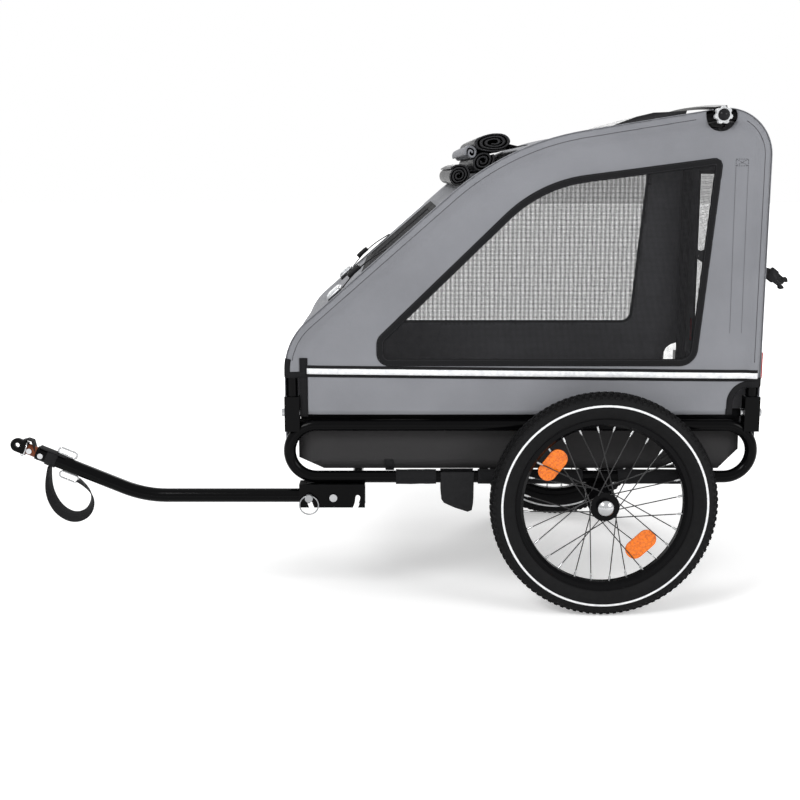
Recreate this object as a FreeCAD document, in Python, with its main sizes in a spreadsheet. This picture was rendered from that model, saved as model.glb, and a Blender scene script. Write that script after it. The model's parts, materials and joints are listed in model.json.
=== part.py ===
"""Dog bike trailer: a folding two-wheel cabin trailer with a side-mounted drawbar.

Frame: +X to the rear, +Y to the trailer's right side, +Z up, origin on the floor below the middle
of the bounding box. All lengths are in millimetres.
"""
import FreeCAD, Part
import math
import os
import re
from types import SimpleNamespace
from FreeCAD import Placement, Rotation, Vector

doc = FreeCAD.newDocument("dog_bike_trailer")

# Driving dimensions: name, millimetres or degrees, meaning
DIMENSIONS = [
    ("front_reach", 1067, "axle to the tip of the hitch tongue"),
    ("rear_reach", 326, "axle to the end of the rear buckles"),
    ("tyre_diameter", 406, "tyre over its tread"),
    ("tyre_width", 47, "tyre across its side walls"),
    ("tyre_wall", 4, "tyre casing thickness"),
    ("wheel_offset", 50, "side rail's middle plane to the wheel's"),
    ("rail_track", 570, "distance between the side rails' middle planes"),
    ("rail_diameter", 22, "side rail tube, outside"),
    ("rail_wall", 2, "side rail tube wall"),
    ("rail_joint_gap", 0.6, "butt joint of the bent side rail"),
    ("rail_front", 573, "axle to the front of the side rail loop"),
    ("rail_rear", 284, "axle to the rear of the side rail loop"),
    ("lower_rail_height", 241, "floor to the lower rail's centre line"),
    ("upper_rail_height", 337, "floor to the upper rail's centre line"),
    ("cross_tube_diameter", 20, "front and rear cross tubes"),
    ("cross_tube_wall", 1.5, "wall of the cross tubes and the axle beam"),
    ("front_cross_reach", 440, "axle to the front cross tube"),
    ("rear_cross_reach", 205, "axle to the rear cross tube"),
    ("hoop_diameter", 20, "hoop tube, outside"),
    ("hoop_wall", 1.6, "hoop tube wall"),
    ("hinge_clearance", 2, "hoop's feet above the upper rail"),
    ("hoop_front", 556, "axle to the hoop's front leg"),
    ("hoop_rear", 268.5, "axle to the hoop's rear leg"),
    ("knee_height", 485, "floor to the corner between front leg and slope"),
    ("brow_reach", 169, "axle to the corner between slope and roof line"),
    ("brow_height", 824, "floor to the corner between slope and roof line"),
    ("crown_height", 894, "floor to the corner between roof line and rear leg"),
    ("knee_radius", 100, "bend between front leg and slope"),
    ("brow_radius", 450, "bend between slope and roof line"),
    ("crown_radius", 70, "bend between roof line and rear leg"),
    ("hinge_bolt_diameter", 8, "fold hinge bolts"),
    ("bracket_wall", 3, "sheet of the hinge brackets"),
    ("bracket_rise", 30, "hinge brackets, above the fold axis"),
    ("bracket_lap", 10, "hinge brackets, below the upper rail's centre line"),
    ("bracket_reach", 10, "hinge bracket flanges, inward from the rail's middle plane"),
    ("bolt_head_diameter", 14, "bolt heads and cap nuts"),
    ("bolt_head_height", 5, "bolt heads and cap nuts"),
    ("fabric_thickness", 2, "sewn fabric with its lining"),
    ("panel_bottom", 358, "floor to the lower edge of the side panels"),
    ("front_notch_reach", 528, "axle to the lower front corner of the side panels"),
    ("front_notch_top", 425, "floor to the top of the side panels' front notch"),
    ("rear_notch_reach", 232, "axle to the start of the side panels' rear arch"),
    ("rear_notch_top", 408, "floor to the top of the side panels' rear arch"),
    ("knob_reach", 190, "axle to the roof bar and its knobs"),
    ("knob_notch_radius", 27, "cut-out of the side panel round the knob"),
    ("window_front", 398, "axle to the lower front corner of the window"),
    ("window_rear_low", 158, "axle to the lower rear corner of the window"),
    ("window_rear_high", 190, "axle to the upper rear corner of the window"),
    ("window_bottom", 452, "floor to the window's lower edge"),
    ("window_front_height", 492, "floor to the window's front corner"),
    ("window_brow_reach", 118, "axle to the bend in the window's upper edge"),
    ("window_brow_height", 764, "floor to the bend in the window's upper edge"),
    ("window_top", 804, "floor to the window's upper rear corner"),
    ("window_corner_radius", 26, "rounded lower corners of the window"),
    ("window_brow_radius", 240, "bend in the window's upper edge"),
    ("window_mesh_thickness", 0.8, "window mesh"),
    ("roof_bar_width", 20, "flat roof bar, along the trailer"),
    ("roof_bar_thickness", 5, "flat roof bar"),
    ("roof_bar_camber", 10, "rise of the roof bar in the middle"),
    ("roof_bar_lug", 3.5, "turned-down ends of the roof bar"),
    ("roof_bar_lug_drop", 14, "turned-down ends, below the hoop's centre line"),
    ("knob_diameter", 31, "star knob over its lobes"),
    ("knob_thickness", 11, "star knob's rim"),
    ("knob_dome", 5, "domed cap over the knob's rim"),
    ("knob_stud_diameter", 6, "stud of the star knob"),
    ("knob_stud_clearance", 0.6, "round the stud in the hoop"),
    ("knob_stud_length", 8, "stud beyond the roof bar's lug"),
    ("roll_diameter", 62, "rolled-up front cover"),
    ("roll_reach", 205, "axle to the middle of the rolled-up cover"),
    ("reflector_reach", 480, "axle to the front reflectors"),
    ("front_reflector_height", 26, "front reflector, along the slope"),
    ("front_reflector_width", 60, "front reflector, across the trailer"),
    ("front_reflector_depth", 9, "front reflector"),
    ("rear_reflector_low", 418, "floor to the rear reflectors"),
    ("rear_reflector_height", 50, "rear reflector"),
    ("rear_reflector_width", 34, "rear reflector, across the trailer"),
    ("rear_reflector_depth", 9, "rear reflector"),
    ("reflector_inset", 14, "reflectors, inward from the side panel"),
    ("buckle_high", 622, "floor to the top of the rear strap"),
    ("buckle_drop", 58, "rear strap and buckle, downward"),
    ("buckle_width", 30, "side-release buckle half"),
    ("buckle_thickness", 9, "side-release buckle half"),
    ("strap_thickness", 1.8, "webbing"),
    ("tub_bottom", 254, "floor to the underside of the tub"),
    ("tub_top", 345, "floor to the top of the tub's side walls"),
    ("tub_end_top", 300, "floor to the top of the tub's end walls"),
    ("tub_front", 537, "axle to the tub's front wall"),
    ("tub_rear", 253, "axle to the tub's rear wall"),
    ("tub_toe", 36, "slope of the tub's ends, along and up"),
    ("tub_wall", 3, "tub fabric with its stiffener"),
    ("board_thickness", 4, "floor board"),
    ("board_margin", 8, "floor board, inside the tub"),
    ("sleeve_wall", 1.4, "tub sleeves round the lower rails"),
    ("sleeve_margin", 8, "tub sleeves, short of the fittings on the rail"),
    ("sleeve_front", 370, "axle to the front end of the front sleeve"),
    ("axle_diameter", 12, "quick-release axle pin"),
    ("axle_collar_diameter", 24, "collar at the axle pin's outer end"),
    ("axle_collar", 4, "thickness of the axle pin's collar"),
    ("receiver_diameter", 30, "axle receiver on the axle bracket"),
    ("plate_lip", 2, "axle plate, below the receiver"),
    ("receiver_inner_reach", 23, "receiver, inward from the rail's middle plane"),
    ("axle_plate_width", 48, "axle bracket plate, along the trailer"),
    ("axle_plate", 8, "axle bracket plate thickness"),
    ("button_diameter", 28, "push button in the axle's end"),
    ("button_height", 6, "push button"),
    ("button_travel", 3, "push button stroke"),
    ("button_stem_diameter", 6, "stem of the push button"),
    ("button_stem_length", 18, "stem of the push button"),
    ("hub_length", 50, "hub shell"),
    ("hub_flange_diameter", 52, "spoke flanges"),
    ("hub_flange", 3, "thickness of the spoke flanges"),
    ("hub_flange_spacing", 38, "between the flanges' middle planes"),
    ("hub_shell_diameter", 32, "hub shell between the flanges"),
    ("hub_nose_diameter", 27, "hub shell outside the flanges"),
    ("bearing_diameter", 22, "wheel bearing, outside"),
    ("bearing_width", 7, "wheel bearing"),
    ("bearing_lip", 1, "hub edge outside the bearings"),
    ("rim_bed_diameter", 302, "tyre beads on the rim"),
    ("rim_edge_diameter", 313, "rim flanges"),
    ("rim_inner_diameter", 286, "rim on the spokes' side"),
    ("rim_width", 27, "rim over its flanges"),
    ("rim_wall", 2.2, "rim sheet"),
    ("tube_wall", 1.2, "inner tube"),
    ("tube_clearance", 1.6, "inner tube inside the tyre"),
    ("valve_diameter", 8, "valve stem"),
    ("valve_bore", 2.4, "valve passage"),
    ("valve_reach", 34, "valve stem, inward from the tube"),
    ("valve_angle", 38, "valve, degrees above the rear direction"),
    ("spoke_diameter", 2, "spokes"),
    ("spoke_circle", 49, "spoke heads on the flanges"),
    ("spoke_rim_offset", 2.5, "spoke ends to either side of the rim's middle"),
    ("nipple_diameter", 4, "spoke nipples"),
    ("nipple_length", 8, "spoke nipples"),
    ("lens_length", 62, "spoke reflector"),
    ("lens_width", 34, "spoke reflector"),
    ("lens_thickness", 3.2, "spoke reflector between the spokes"),
    ("lens_front_radius", 116, "axle to the spoke reflector at the front"),
    ("lens_rear_radius", 102, "axle to the spoke reflector at the rear"),
    ("lens_front_angle", 142, "spoke reflector at the front, degrees above the rear direction"),
    ("lens_rear_angle", -47, "spoke reflector at the rear, degrees above the rear direction"),
    ("drawbar_diameter", 25, "drawbar tube"),
    ("drawbar_wall", 2, "drawbar tube wall"),
    ("drawbar_height", 206, "floor to the straight drawbar's centre line"),
    ("drawbar_pivot_reach", 483, "axle to the drawbar's pivot bolt"),
    ("drawbar_tail", 14, "drawbar behind its pivot"),
    ("drawbar_bend_reach", 827, "axle to the drawbar's bend"),
    ("drawbar_bend_radius", 200, "drawbar's bend"),
    ("hitch_height", 300, "floor to the hitch bore"),
    ("hitch_length", 37, "drawbar's upper end to the hitch bore"),
    ("drawbar_bracket_front", 545, "axle to the front of the drawbar bracket"),
    ("drawbar_bracket_rear", 426, "axle to the rear of the drawbar bracket"),
    ("drawbar_bracket_bottom", 187, "floor to the drawbar bracket"),
    ("drawbar_bracket_wall", 3.5, "sheet of the drawbar bracket"),
    ("pivot_bolt_diameter", 8, "drawbar's pivot bolt"),
    ("lock_pin_diameter", 8, "drawbar's lock pin"),
    ("lock_pin_throw", 44, "lock pin from the pivot bolt"),
    ("lock_pin_slack", 0.4, "lock pin in the bracket's notches"),
    ("lock_head", 3, "thickness of the lock pin's two flanges"),
    ("lock_neck", 4, "neck of the lock pin, for its ring"),
    ("lock_neck_diameter", 5, "neck of the lock pin"),
    ("lock_ring_diameter", 34, "pull ring of the lock pin"),
    ("wire_diameter", 2.4, "wire of the pull ring and the safety ring"),
    ("flex_diameter", 20, "flexible hitch element"),
    ("flex_length", 18, "flexible hitch element outside the drawbar"),
    ("flex_socket", 20, "flexible hitch element inside the drawbar"),
    ("tongue_width", 25, "hitch tongue, upright"),
    ("tongue_thickness", 6, "hitch tongue"),
    ("tongue_socket", 12, "hitch tongue inside the flexible element"),
    ("hitch_bore_diameter", 8.4, "hole for the hitch pin"),
    ("hitch_bolt_diameter", 5, "cross bolts of the hitch"),
    ("safety_ring_diameter", 31, "safety ring on the hitch tongue"),
    ("safety_strap_width", 25, "safety strap"),
    ("hook_length", 38, "snap hooks"),
    ("hook_width", 15, "snap hooks"),
    ("hook_wire", 3.2, "rod of the snap hooks"),
    ("hook_gate", 0.8, "gap at the snap hooks' gate"),
    ("hook_front_reach", 972, "axle to the upper snap hook"),
    ("hook_rear_reach", 957, "axle to the lower snap hook"),
    ("clip_front", 289, "axle to the front of the storage clip"),
    ("clip_rear", 229, "axle to the rear of the storage clip"),
    ("clip_wall", 3, "storage clip"),
    ("clip_bottom", 190, "floor to the storage clip's open mouth"),
    ("seat_gap", 0.3, "between seated neighbours"),
    ("running_gap", 0.05, "radial clearance of shafts in bores"),
    ("side_gap", 0.5, "beside turning parts"),
    ("overrun", 5, "cutters past what they cut"),
]

sheet = doc.addObject("Spreadsheet::Sheet", "sizes")
for row, (alias, amount, meaning) in enumerate(DIMENSIONS, start=1):
    sheet.set(f"A{row}", meaning)
    sheet.set(f"B{row}", str(amount))
    sheet.setAlias(f"B{row}", alias)
doc.recompute()
S = SimpleNamespace(**{alias: float(sheet.get(alias)) for alias, amount, meaning in DIMENSIONS})

# Places that follow from the driving dimensions
AXLE_X = (S.front_reach - S.rear_reach) / 2
AXLE_Z = S.tyre_diameter / 2
RAIL_Y = S.rail_track / 2
WHEEL_Y = RAIL_Y + S.wheel_offset
RAIL_R = S.rail_diameter / 2
HOOP_R = S.hoop_diameter / 2
HINGE_Z = S.upper_rail_height + RAIL_R + S.hinge_clearance + HOOP_R
BRACKET_LOW = S.upper_rail_height - S.bracket_lap
SIDES = (("left", -1), ("right", 1))
X_AXIS = Vector(1, 0, 0)
Y_AXIS = Vector(0, 1, 0)
Z_AXIS = Vector(0, 0, 1)

nodes = {}


def node(label, obj):
    """Names a finished sub-part."""
    obj.Label = label
    nodes[label] = obj
    return obj


def bind(obj, prop, formula):
    """Ties a property to cells of the sheet; formula holds plain alias names."""
    obj.setExpression(prop, re.sub(r"[a-z_]{3,}", lambda found: "sizes." + found.group(0), formula))


def turned(axis):
    """Rotation that takes +Z to the given axis."""
    return Rotation(Z_AXIS, axis)


def cylinder(name, radius, height, base, axis):
    """Cylinder whose radius and height are formulas, standing on base along axis."""
    obj = doc.addObject("Part::Cylinder", name)
    bind(obj, "Radius", radius)
    bind(obj, "Height", height)
    obj.Placement = Placement(base, turned(axis))
    return obj


def box(name, length, width, height, corner):
    """Box whose three sizes are formulas, with its lowest corner given."""
    obj = doc.addObject("Part::Box", name)
    bind(obj, "Length", length)
    bind(obj, "Width", width)
    bind(obj, "Height", height)
    obj.Placement = Placement(corner, Rotation())
    return obj


def cut(name, base, tool):
    obj = doc.addObject("Part::Cut", name)
    obj.Base = base
    obj.Tool = tool
    return obj


def fuse(name, parts):
    obj = doc.addObject("Part::MultiFuse", name)
    obj.Shapes = parts
    obj.Refine = True
    return obj


def group(name, parts):
    """Separate solids that share a node."""
    obj = doc.addObject("Part::Compound", name)
    obj.Links = parts
    return obj


def rounded(points, radii, closed=False):
    """Lines and tangent arcs along points (x, z), with a radius for each corner."""
    count = len(points)
    pieces = []
    spots = [Vector(x, z, 0) for x, z in points]
    entries = []
    for index, spot in enumerate(spots):
        radius = radii[index]
        if radius == 0 or (not closed and index in (0, count - 1)):
            entries.append((spot, None, spot))
            continue
        before = (spots[index - 1] - spot).normalize()
        after = (spots[(index + 1) % count] - spot).normalize()
        half = before.getAngle(after) / 2
        reach = radius / math.tan(half)
        inward = (before + after).normalize()
        middle = spot + inward * (radius / math.sin(half) - radius)
        entries.append((spot + before * reach, middle, spot + after * reach))
    for index, (start, middle, end) in enumerate(entries):
        if middle is not None:
            pieces.append(Part.Arc(start, middle, end))
        if index < count - 1 or closed:
            follow = entries[(index + 1) % count][0]
            if end.distanceToPoint(follow) > 1e-6:
                pieces.append(Part.LineSegment(end, follow))
    return pieces


def offset(points, distance):
    """Corners of an open outline moved to its left by distance."""
    spots = [Vector(x, z, 0) for x, z in points]
    runs = [(b - a).normalize() for a, b in zip(spots, spots[1:])]
    lefts = [Vector(-run.y, run.x, 0) for run in runs]
    moved = [spots[0] + lefts[0] * distance]
    for spot, one, two in zip(spots[1:-1], lefts, lefts[1:]):
        bisector = (one + two).normalize()
        moved.append(spot + bisector * (distance / bisector.dot(one)))
    moved.append(spots[-1] + lefts[-1] * distance)
    return [(spot.x, spot.y) for spot in moved]


def side_sketch(name, pieces, y):
    """Sketch in an upright plane along the trailer, at height coordinates (x, z)."""
    obj = doc.addObject("Sketcher::SketchObject", name)
    obj.addGeometry(pieces, False)
    obj.Placement = Placement(Vector(0, y, 0), Rotation(X_AXIS, 90))
    return obj


def plate(name, pieces, y, thickness):
    """Sketched outline extruded across the trailer, from y towards +Y."""
    obj = doc.addObject("Part::Extrusion", name)
    obj.Base = side_sketch(name + "_outline", pieces, y)
    obj.DirMode = "Custom"
    obj.Dir = Y_AXIS
    bind(obj, "LengthFwd", thickness)
    obj.Solid = True
    return obj


def pipe(name, pieces, y, diameter, wall=None):
    """Round tube along a path (x, z) in the plane y; solid rod where no wall is given."""
    spine = side_sketch(name + "_path", pieces, y)
    first = pieces[0]
    start = first.value(first.FirstParameter)
    heading = first.tangent(first.FirstParameter)[0]
    edges = [f"Edge{index}" for index in range(1, len(pieces) + 1)]

    def swept(part, radius):
        ring = doc.addObject("Part::Circle", f"{name}_{part}_ring")
        bind(ring, "Radius", radius)
        ring.Placement = Placement(Vector(start.x, y, start.y), turned(Vector(heading.x, 0, heading.y)))
        sweep = doc.addObject("Part::Sweep", f"{name}_{part}")
        sweep.Sections = [ring]
        sweep.Spine = (spine, edges)
        sweep.Solid = True
        return sweep

    outer = swept("outer", f"({diameter}) / 2")
    if wall is None:
        return outer
    return cut(name, outer, swept("inner", f"({diameter}) / 2 - {wall}"))


def dome(foot, tip, edge):
    """Arc of a ball's outline, from its edge at foot up to the tip on the axis."""
    rise = tip - foot
    radius = (edge**2 + rise**2) / (2 * rise)
    half = math.asin(edge / radius) / 2
    middle = Vector(tip - radius + radius * math.cos(half), radius * math.sin(half), 0)
    return Part.Arc(Vector(foot, edge, 0), middle, Vector(tip, 0, 0))


def revolved(name, pieces, centre):
    """Profile (y, radius) turned about a cross axis through centre."""
    body = doc.addObject("PartDesign::Body", name)
    sketch = body.newObject("Sketcher::SketchObject", name + "_profile")
    plane = next(part for part in body.Origin.OriginFeatures if part.Role == "YZ_Plane")
    sketch.AttachmentSupport = (plane, [""])
    sketch.MapMode = "FlatFace"
    sketch.addGeometry(pieces, False)
    turn = body.newObject("PartDesign::Revolution", name + "_turn")
    turn.Profile = sketch
    turn.ReferenceAxis = (sketch, ["H_Axis"])
    turn.Angle = 360
    body.Placement = Placement(centre, Rotation())
    return body


def sharp(points):
    """Closed outline of straight lines."""
    return rounded(points, [0] * len(points), closed=True)


# Side rails, cross tubes and hinge brackets
RAIL_FRONT = AXLE_X - S.rail_front + RAIL_R
RAIL_REAR = AXLE_X + S.rail_rear - RAIL_R
RAIL_BEND = (S.upper_rail_height - S.lower_rail_height) / 2
LOOP = rounded(
    [
        (AXLE_X + S.rail_joint_gap / 2, S.lower_rail_height),
        (RAIL_REAR, S.lower_rail_height),
        (RAIL_REAR, S.upper_rail_height),
        (RAIL_FRONT, S.upper_rail_height),
        (RAIL_FRONT, S.lower_rail_height),
        (AXLE_X - S.rail_joint_gap / 2, S.lower_rail_height),
    ],
    [0, RAIL_BEND, RAIL_BEND, RAIL_BEND, RAIL_BEND, 0],
)
saddles = {}
for name, side in SIDES:
    rail = pipe(f"{name}_side_rail", LOOP, side * RAIL_Y, "rail_diameter", "rail_wall")
    node(f"{name}_side_rail", rail)
    saddles[name] = pipe(f"{name}_saddle", LOOP, side * RAIL_Y, "rail_diameter + 2 * running_gap")


def cross_tube(name, x, z, length):
    """Tube across the trailer between the side rails, before its ends are fitted."""
    start = Vector(x, -RAIL_Y, z)
    outer = cylinder(name + "_outer", "cross_tube_diameter / 2", length, start, Y_AXIS)
    inner = cylinder(name + "_inner", "cross_tube_diameter / 2 - cross_tube_wall", length, start, Y_AXIS)
    return cut(name, outer, inner)


def floor_tube(name, x):
    tube = cross_tube(name, x, S.lower_rail_height, "rail_track")
    return cut(name + "_fitted", cut(name + "_left_fit", tube, saddles["left"]), saddles["right"])


beam = cross_tube("axle_beam", AXLE_X, AXLE_Z, "rail_track - 2 * receiver_inner_reach - 2 * seat_gap")
beam.Placement = Placement(Vector(0, S.receiver_inner_reach + S.seat_gap, 0), Rotation())
floor_tubes = [
    floor_tube("front_cross_tube", AXLE_X - S.front_cross_reach),
    floor_tube("rear_cross_tube", AXLE_X + S.rear_cross_reach),
]
node("cross_tubes", group("cross_tubes", floor_tubes + [beam]))

LEGS = (("front", AXLE_X - S.hoop_front), ("rear", AXLE_X + S.hoop_rear))
BRACKET_HALF = HOOP_R + S.side_gap + S.bracket_wall


def hinge_bracket(name, side, x):
    """U of sheet, open towards the cabin, saddled on the rail; it stops the hoop going outward."""
    flange = "2 * (hoop_diameter / 2 + side_gap + bracket_wall)"
    depth = "hoop_diameter / 2 + side_gap + bracket_wall + bracket_reach"
    height = "bracket_lap + rail_diameter / 2 + hinge_clearance + hoop_diameter / 2 + bracket_rise"
    low = -RAIL_Y - BRACKET_HALF if side < 0 else RAIL_Y - S.bracket_reach
    outer = box(name + "_outer", flange, depth, height, Vector(x - BRACKET_HALF, low, BRACKET_LOW))
    inside = low + S.bracket_wall if side < 0 else low - S.overrun
    inner = box(
        name + "_inner",
        "hoop_diameter + 2 * side_gap",
        "hoop_diameter / 2 + side_gap + bracket_reach + overrun",
        height + " + 2 * overrun",
        Vector(x - HOOP_R - S.side_gap, inside, BRACKET_LOW - S.overrun),
    )
    bore = cylinder(
        name + "_bore",
        "hinge_bolt_diameter / 2 + running_gap",
        flange + " + 2 * overrun",
        Vector(x - BRACKET_HALF - S.overrun, side * RAIL_Y, HINGE_Z),
        X_AXIS,
    )
    channel = cut(name + "_channel", outer, inner)
    return cut(name, cut(name + "_drilled", channel, bore), saddles["left" if side < 0 else "right"])


def hinge_bolt(name, side, x):
    """Bolt along the trailer with a round head at one end and a cap nut at the other."""
    span = "2 * (hoop_diameter / 2 + side_gap + bracket_wall + seat_gap)"
    half = BRACKET_HALF + S.seat_gap
    start = Vector(x - half, side * RAIL_Y, HINGE_Z)
    shank = cylinder(name + "_shank", "hinge_bolt_diameter / 2", span, start, X_AXIS)
    head = cylinder(name + "_head", "bolt_head_diameter / 2", "bolt_head_height", start, X_AXIS * -1)
    nut_at = Vector(x + half, side * RAIL_Y, HINGE_Z)
    nut = cylinder(name + "_nut", "bolt_head_diameter / 2", "bolt_head_height", nut_at, X_AXIS)
    return fuse(name, [shank, head, nut])


brackets = []
bolts = []
for name, side in SIDES:
    for leg, x in LEGS:
        brackets.append(hinge_bracket(f"{name}_{leg}_bracket", side, x))
        bolts.append(hinge_bolt(f"{name}_{leg}_bolt", side, x))
node("hinge_brackets", group("hinge_brackets", brackets))
node("hinge_bolts", group("hinge_bolts", bolts))

# Axle brackets, axle pins and push buttons
HUB_END = WHEEL_Y + S.hub_length / 2
HUB_START = WHEEL_Y - S.hub_length / 2
RECEIVER_START = RAIL_Y - S.receiver_inner_reach
PIN_END = HUB_END + S.seat_gap + S.axle_collar


def axle_bracket(name, side):
    """Plate hanging under the lower rail, with the round receiver of the axle pin."""
    half = S.axle_plate_width / 2
    low = AXLE_Z - S.receiver_diameter / 2 - S.plate_lip
    corners = [
        (AXLE_X - half, S.lower_rail_height),
        (AXLE_X + half, S.lower_rail_height),
        (AXLE_X + half, low),
        (AXLE_X - half, low),
    ]
    outline = rounded(corners, [0, 0, half * PLATE_ROUNDING_SHARE, half * PLATE_ROUNDING_SHARE], True)
    sheet_plate = plate(name + "_plate", outline, side * RAIL_Y - S.axle_plate / 2, "axle_plate")
    inner = Vector(AXLE_X, side * RECEIVER_START, AXLE_Z)
    span = "wheel_offset - hub_length / 2 - side_gap + receiver_inner_reach"
    receiver = cylinder(name + "_receiver", "receiver_diameter / 2", span, inner, Y_AXIS * side)
    bore = cylinder(name + "_bore", "axle_diameter / 2 + running_gap", span, inner, Y_AXIS * side)
    solid = cut(name + "_bored", fuse(name + "_welded", [sheet_plate, receiver]), bore)
    return cut(name, solid, saddles["left" if side < 0 else "right"])


def axle_pin(name, side):
    """Quick-release pin: shank, outer collar and the bore for the button's stem."""
    reach = "wheel_offset + hub_length / 2 + seat_gap + receiver_inner_reach"
    start = Vector(AXLE_X, side * RECEIVER_START, AXLE_Z)
    shank = cylinder(name + "_shank", "axle_diameter / 2", reach, start, Y_AXIS * side)
    collar_at = Vector(AXLE_X, side * (HUB_END + S.seat_gap), AXLE_Z)
    collar = cylinder(name + "_collar", "axle_collar_diameter / 2", "axle_collar", collar_at, Y_AXIS * side)
    bore = cylinder(
        name + "_bore",
        "button_stem_diameter / 2 + running_gap",
        "button_stem_length + overrun",
        Vector(AXLE_X, side * PIN_END, AXLE_Z),
        Y_AXIS * -side,
    )
    return cut(name, fuse(name + "_turned", [shank, collar]), bore)


def axle_button(name, side):
    """Domed push button on a stem that runs in the axle pin."""
    foot = side * (PIN_END + S.button_travel + S.seat_gap)
    tip = foot + side * S.button_height
    stem = foot - side * S.button_stem_length
    edge = S.button_diameter / 2
    stem_r = S.button_stem_diameter / 2
    pieces = [
        Part.LineSegment(Vector(tip, 0, 0), Vector(stem, 0, 0)),
        Part.LineSegment(Vector(stem, 0, 0), Vector(stem, stem_r, 0)),
        Part.LineSegment(Vector(stem, stem_r, 0), Vector(foot, stem_r, 0)),
        Part.LineSegment(Vector(foot, stem_r, 0), Vector(foot, edge, 0)),
        dome(foot, tip, edge),
    ]
    return revolved(name, pieces, Vector(AXLE_X, 0, AXLE_Z))


PLATE_ROUNDING_SHARE = 0.8
receivers = [axle_bracket(f"{name}_axle_bracket", side) for name, side in SIDES]
node("axle_brackets", group("axle_brackets", receivers))
node("axle_pins", group("axle_pins", [axle_pin(f"{name}_axle_pin", side) for name, side in SIDES]))
for name, side in SIDES:
    node(f"{name}_axle_button", axle_button(f"{name}_axle_button", side))

# Tub, floor board and sleeves
TUB_HALF = RAIL_Y - RAIL_R - S.seat_gap


def tub_outline(inset, top):
    """Side view of the tub, drawn in by inset."""
    front = AXLE_X - S.tub_front + inset
    rear = AXLE_X + S.tub_rear - inset
    low = S.tub_bottom + inset
    return sharp(
        [
            (front + S.tub_toe, low),
            (rear - S.tub_toe, low),
            (rear, low + S.tub_toe),
            (rear, top),
            (front, top),
            (front, low + S.tub_toe),
        ]
    )


tub_width = "rail_track - rail_diameter - 2 * seat_gap"
tub_outer = plate("tub_outer", tub_outline(0, S.tub_top), -TUB_HALF, tub_width)
tub_inner = plate(
    "tub_inner",
    tub_outline(S.tub_wall, S.tub_top + S.overrun),
    -TUB_HALF + S.tub_wall,
    tub_width + " - 2 * tub_wall",
)
tub_ends = box(
    "tub_ends",
    "tub_front + tub_rear + 2 * overrun",
    tub_width + " - 2 * tub_wall",
    "tub_top - tub_end_top + overrun",
    Vector(AXLE_X - S.tub_front - S.overrun, -TUB_HALF + S.tub_wall, S.tub_end_top),
)
node("tub", cut("tub", cut("tub_hollow", tub_outer, tub_inner), tub_ends))

board_inset = S.tub_wall + S.tub_toe + S.board_margin
node(
    "floor_board",
    box(
        "floor_board",
        "tub_front + tub_rear - 2 * (tub_wall + tub_toe + board_margin)",
        tub_width + " - 2 * (tub_wall + board_margin)",
        "board_thickness",
        Vector(
            AXLE_X - S.tub_front + board_inset,
            -TUB_HALF + S.tub_wall + S.board_margin,
            S.tub_bottom + S.tub_wall + S.seat_gap,
        ),
    ),
)


def sleeve(name, side, front, length):
    """Fabric sleeve round the lower rail between two places along it."""
    start = Vector(front, side * RAIL_Y, S.lower_rail_height)
    outer = cylinder(name + "_outer", "rail_diameter / 2 + seat_gap + sleeve_wall", length, start, X_AXIS)
    inner = cylinder(name + "_inner", "rail_diameter / 2 + seat_gap", length, start, X_AXIS)
    return cut(name, outer, inner)


SLEEVES = (
    ("front", AXLE_X - S.sleeve_front, "sleeve_front - clip_front - sleeve_margin"),
    (
        "middle",
        AXLE_X - S.clip_rear + S.sleeve_margin,
        "clip_rear - axle_plate_width / 2 - 2 * sleeve_margin",
    ),
    (
        "rear",
        AXLE_X + S.axle_plate_width / 2 + S.sleeve_margin,
        "rear_cross_reach - cross_tube_diameter / 2 - axle_plate_width / 2 - 2 * sleeve_margin",
    ),
)
sleeves = []
for name, side in SIDES:
    for place, front, length in SLEEVES:
        sleeves.append(sleeve(f"{name}_{place}_sleeve", side, front, length))
node("tub_sleeves", group("tub_sleeves", sleeves))

# Hoops with their fabric
HOOP = [
    (AXLE_X - S.hoop_front, HINGE_Z),
    (AXLE_X - S.hoop_front, S.knee_height),
    (AXLE_X - S.brow_reach, S.brow_height),
    (AXLE_X + S.hoop_rear, S.crown_height),
    (AXLE_X + S.hoop_rear, HINGE_Z),
]
BENDS = [S.knee_radius, S.brow_radius, S.crown_radius]
ROOF_RISE = (S.crown_height - S.brow_height) / (S.hoop_rear + S.brow_reach)
SLOPE_RISE = (S.brow_height - S.knee_height) / (S.hoop_front - S.brow_reach)
KNOB_X = AXLE_X + S.knob_reach
KNOB_Z = S.brow_height + ROOF_RISE * (S.knob_reach + S.brow_reach)
SKIN = HOOP_R + S.seat_gap
PANEL_EDGE = HOOP_R + S.fabric_thickness


def hoop(name, side):
    """Bent tube with closed, drilled feet and a hole for the knob's stud."""
    y = side * RAIL_Y
    tube = pipe(name + "_tube", rounded(HOOP, [0] + BENDS + [0]), y, "hoop_diameter", "hoop_wall")
    feet = []
    bores = []
    for leg, x in LEGS:
        foot_at = Vector(x - HOOP_R, y, HINGE_Z)
        foot_at_front = foot_at + X_AXIS * S.seat_gap
        foot_r = "hoop_diameter / 2 - seat_gap"
        foot_length = "hoop_diameter - 2 * seat_gap"
        feet.append(cylinder(f"{name}_{leg}_foot", foot_r, foot_length, foot_at_front, X_AXIS))
        bore_r = "hinge_bolt_diameter / 2 + running_gap"
        bores.append(cylinder(f"{name}_{leg}_bore", bore_r, "hoop_diameter", foot_at, X_AXIS))
    stud_at = Vector(KNOB_X, y, KNOB_Z)
    stud_r = "knob_stud_diameter / 2 + knob_stud_clearance"
    bores.append(cylinder(name + "_stud_hole", stud_r, "hoop_diameter", stud_at, Y_AXIS * side))
    return cut(name, fuse(name + "_welded", [tube] + feet), fuse(name + "_bores", bores))


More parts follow.
